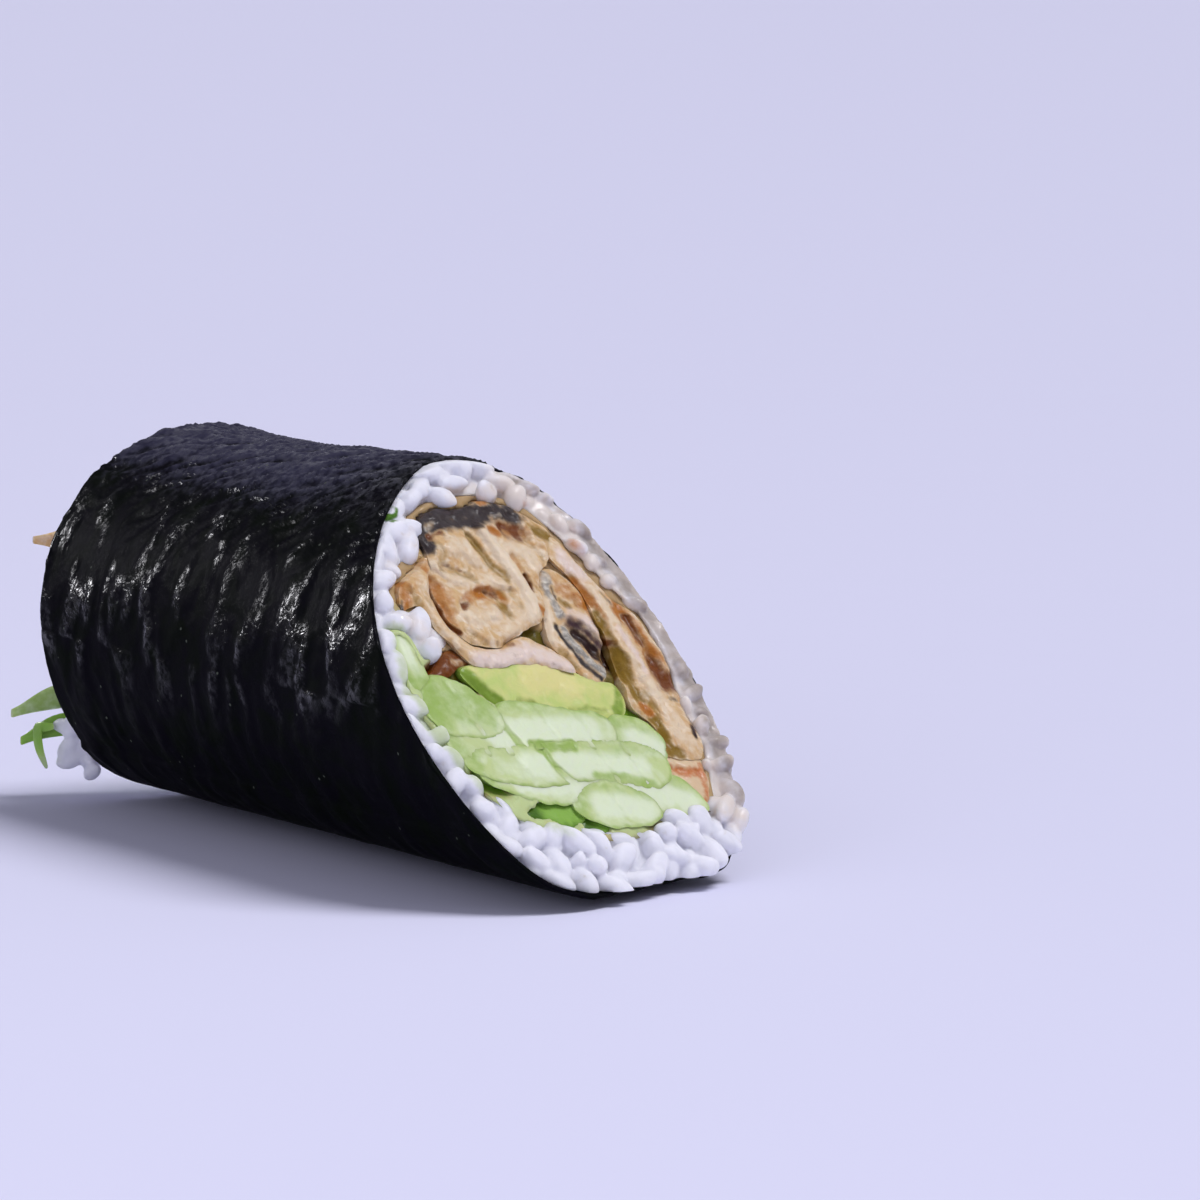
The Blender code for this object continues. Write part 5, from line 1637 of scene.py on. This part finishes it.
def paper_mesh(azimuth):
    """A sheet of paper that runs level under the roll and curves up far behind it, seen from an azimuth."""
    rows = (len(PAPER_PROFILE) - 1) * PAPER_ROWS_PER_SPAN + 1
    curve = [smooth_at(np.array(PAPER_PROFILE), row / PAPER_ROWS_PER_SPAN) for row in range(rows)]
    away = Vector((-math.sin(azimuth), math.cos(azimuth), 0))
    side = Vector((away.y, -away.x, 0))
    points = []
    for run, rise in curve:
        for across in np.linspace(-PAPER_HALF_WIDTH, PAPER_HALF_WIDTH, PAPER_COLUMNS):
            points.append(away * run + side * across + Vector((0, 0, rise)))
    starts = [row * PAPER_COLUMNS + i for row in range(rows - 1) for i in range(PAPER_COLUMNS - 1)]
    faces = [(i, i + 1, i + 1 + PAPER_COLUMNS, i + PAPER_COLUMNS) for i in starts]
    mesh = bpy.data.meshes.new("seamless_paper")
    mesh.from_pydata(points, [], faces)
    mesh.shade_smooth()
    return mesh


class EELROLL_OT_stage(bpy.types.Operator):
    """Set the seamless paper, the soft lights and the camera"""
    bl_idname = "eelroll.stage"
    bl_label = "Set stage"

    def execute(self, context):
        settings = context.scene.eelroll_stage
        floor = add_object("seamless_paper", paper_mesh(settings.azimuth))
        floor.data.materials.append(seamless_paper(settings))

        # The soft box and the strip light only give gloss, and the key and the fill only light the surfaces
        box = soft_light(
            "soft box", (0.16, 0.44, 0.88), (0, 0, 0.02), (0.16, 0.16), settings.box, settings.light)
        box.visible_diffuse = False
        key = bpy.data.lights.new("key", "SUN")
        key.energy = settings.sun
        key.angle = KEY_SPREAD
        key.color = settings.light[:3]
        lamp = add_object("key", key)
        lamp.rotation_euler = facing(-Vector(KEY_WAY))
        lamp.visible_glossy = False
        strip = soft_light(
            "strip light", (-0.66, -0.36, 0.34), (0, 0, 0.03), (0.12, 0.24), settings.strip, settings.light)
        strip.visible_diffuse = False
        fill = soft_light(
            "front fill", (0.7, -0.8, 0.26), (0, 0, 0.02), (1.0, 0.5), settings.fill, settings.shade)
        fill.visible_glossy = False

        # The light from all round is strongest from one side of straight above
        world = bpy.data.worlds.new("pale room")
        world.use_nodes = True
        tree = world.node_tree
        sky = add_node(tree, "ShaderNodeTexCoord").outputs["Generated"]
        way = add_node(
            tree, "ShaderNodeVectorMath", {"operation": "DOT_PRODUCT", 1: Vector(DOME_WAY).normalized()},
            {0: sky})
        glow = add_node(
            tree, "ShaderNodeMapRange",
            {"interpolation_type": "SMOOTHSTEP", "From Min": -0.2, "From Max": 1.0, "To Min": settings.room,
             "To Max": settings.dome},
            {"Value": way.outputs["Value"]})
        background = tree.nodes["Background"]
        background.inputs["Color"].default_value = settings.shade
        tree.links.new(glow.outputs["Result"], background.inputs["Strength"])
        context.scene.world = world
        context.scene.view_settings.view_transform = "Standard"

        camera = add_object("camera", bpy.data.cameras.new("camera"))
        camera.data.lens = settings.lens
        camera.data.sensor_width = SENSOR_WIDTH
        camera.data.clip_start = 10 * MM
        level = math.cos(settings.elevation)
        back = Vector((
            math.sin(settings.azimuth) * level, -math.cos(settings.azimuth) * level,
            math.sin(settings.elevation)))
        camera.location = Vector(CAMERA_TARGET) + back * settings.distance
        camera.rotation_euler = facing(-back)
        context.scene.camera = camera
        return {"FINISHED"}


OPERATORS = (
    EELROLL_OT_stage, EELROLL_OT_nori, EELROLL_OT_rice, EELROLL_OT_eel, EELROLL_OT_greens, EELROLL_OT_sauce,
)
SETTINGS = {
    "eelroll_nori": NoriSettings, "eelroll_rice": RiceSettings, "eelroll_eel": EelSettings,
    "eelroll_greens": GreensSettings, "eelroll_sauce": SauceSettings, "eelroll_stage": StageSettings,
}


class EELROLL_PT_panel(bpy.types.Panel):
    """Lists the roll's settings and the operators that build it"""
    bl_idname = "EELROLL_PT_panel"
    bl_label = "Eel Roll"
    bl_space_type = "VIEW_3D"
    bl_region_type = "UI"
    bl_category = "Eel Roll"

    def draw(self, context):
        for key, group in SETTINGS.items():
            box = self.layout.box()
            for name in group.__annotations__:
                box.prop(getattr(context.scene, key), name)
        for operator in OPERATORS:
            self.layout.operator(operator.bl_idname)


def register():
    for group in SETTINGS.values():
        bpy.utils.register_class(group)
    for key, group in SETTINGS.items():
        setattr(bpy.types.Scene, key, bpy.props.PointerProperty(type=group))
    for operator in OPERATORS:
        bpy.utils.register_class(operator)
    bpy.utils.register_class(EELROLL_PT_panel)


def unregister():
    bpy.utils.unregister_class(EELROLL_PT_panel)
    for operator in reversed(OPERATORS):
        bpy.utils.unregister_class(operator)
    for key in SETTINGS:
        delattr(bpy.types.Scene, key)
    for group in SETTINGS.values():
        bpy.utils.unregister_class(group)


def main():
    """Build everything in order."""
    register()
    bpy.ops.eelroll.stage()
    bpy.ops.eelroll.nori()
    bpy.ops.eelroll.rice()
    bpy.ops.eelroll.eel()
    bpy.ops.eelroll.greens()
    bpy.ops.eelroll.sauce()


if __name__ == "__main__":
    main()
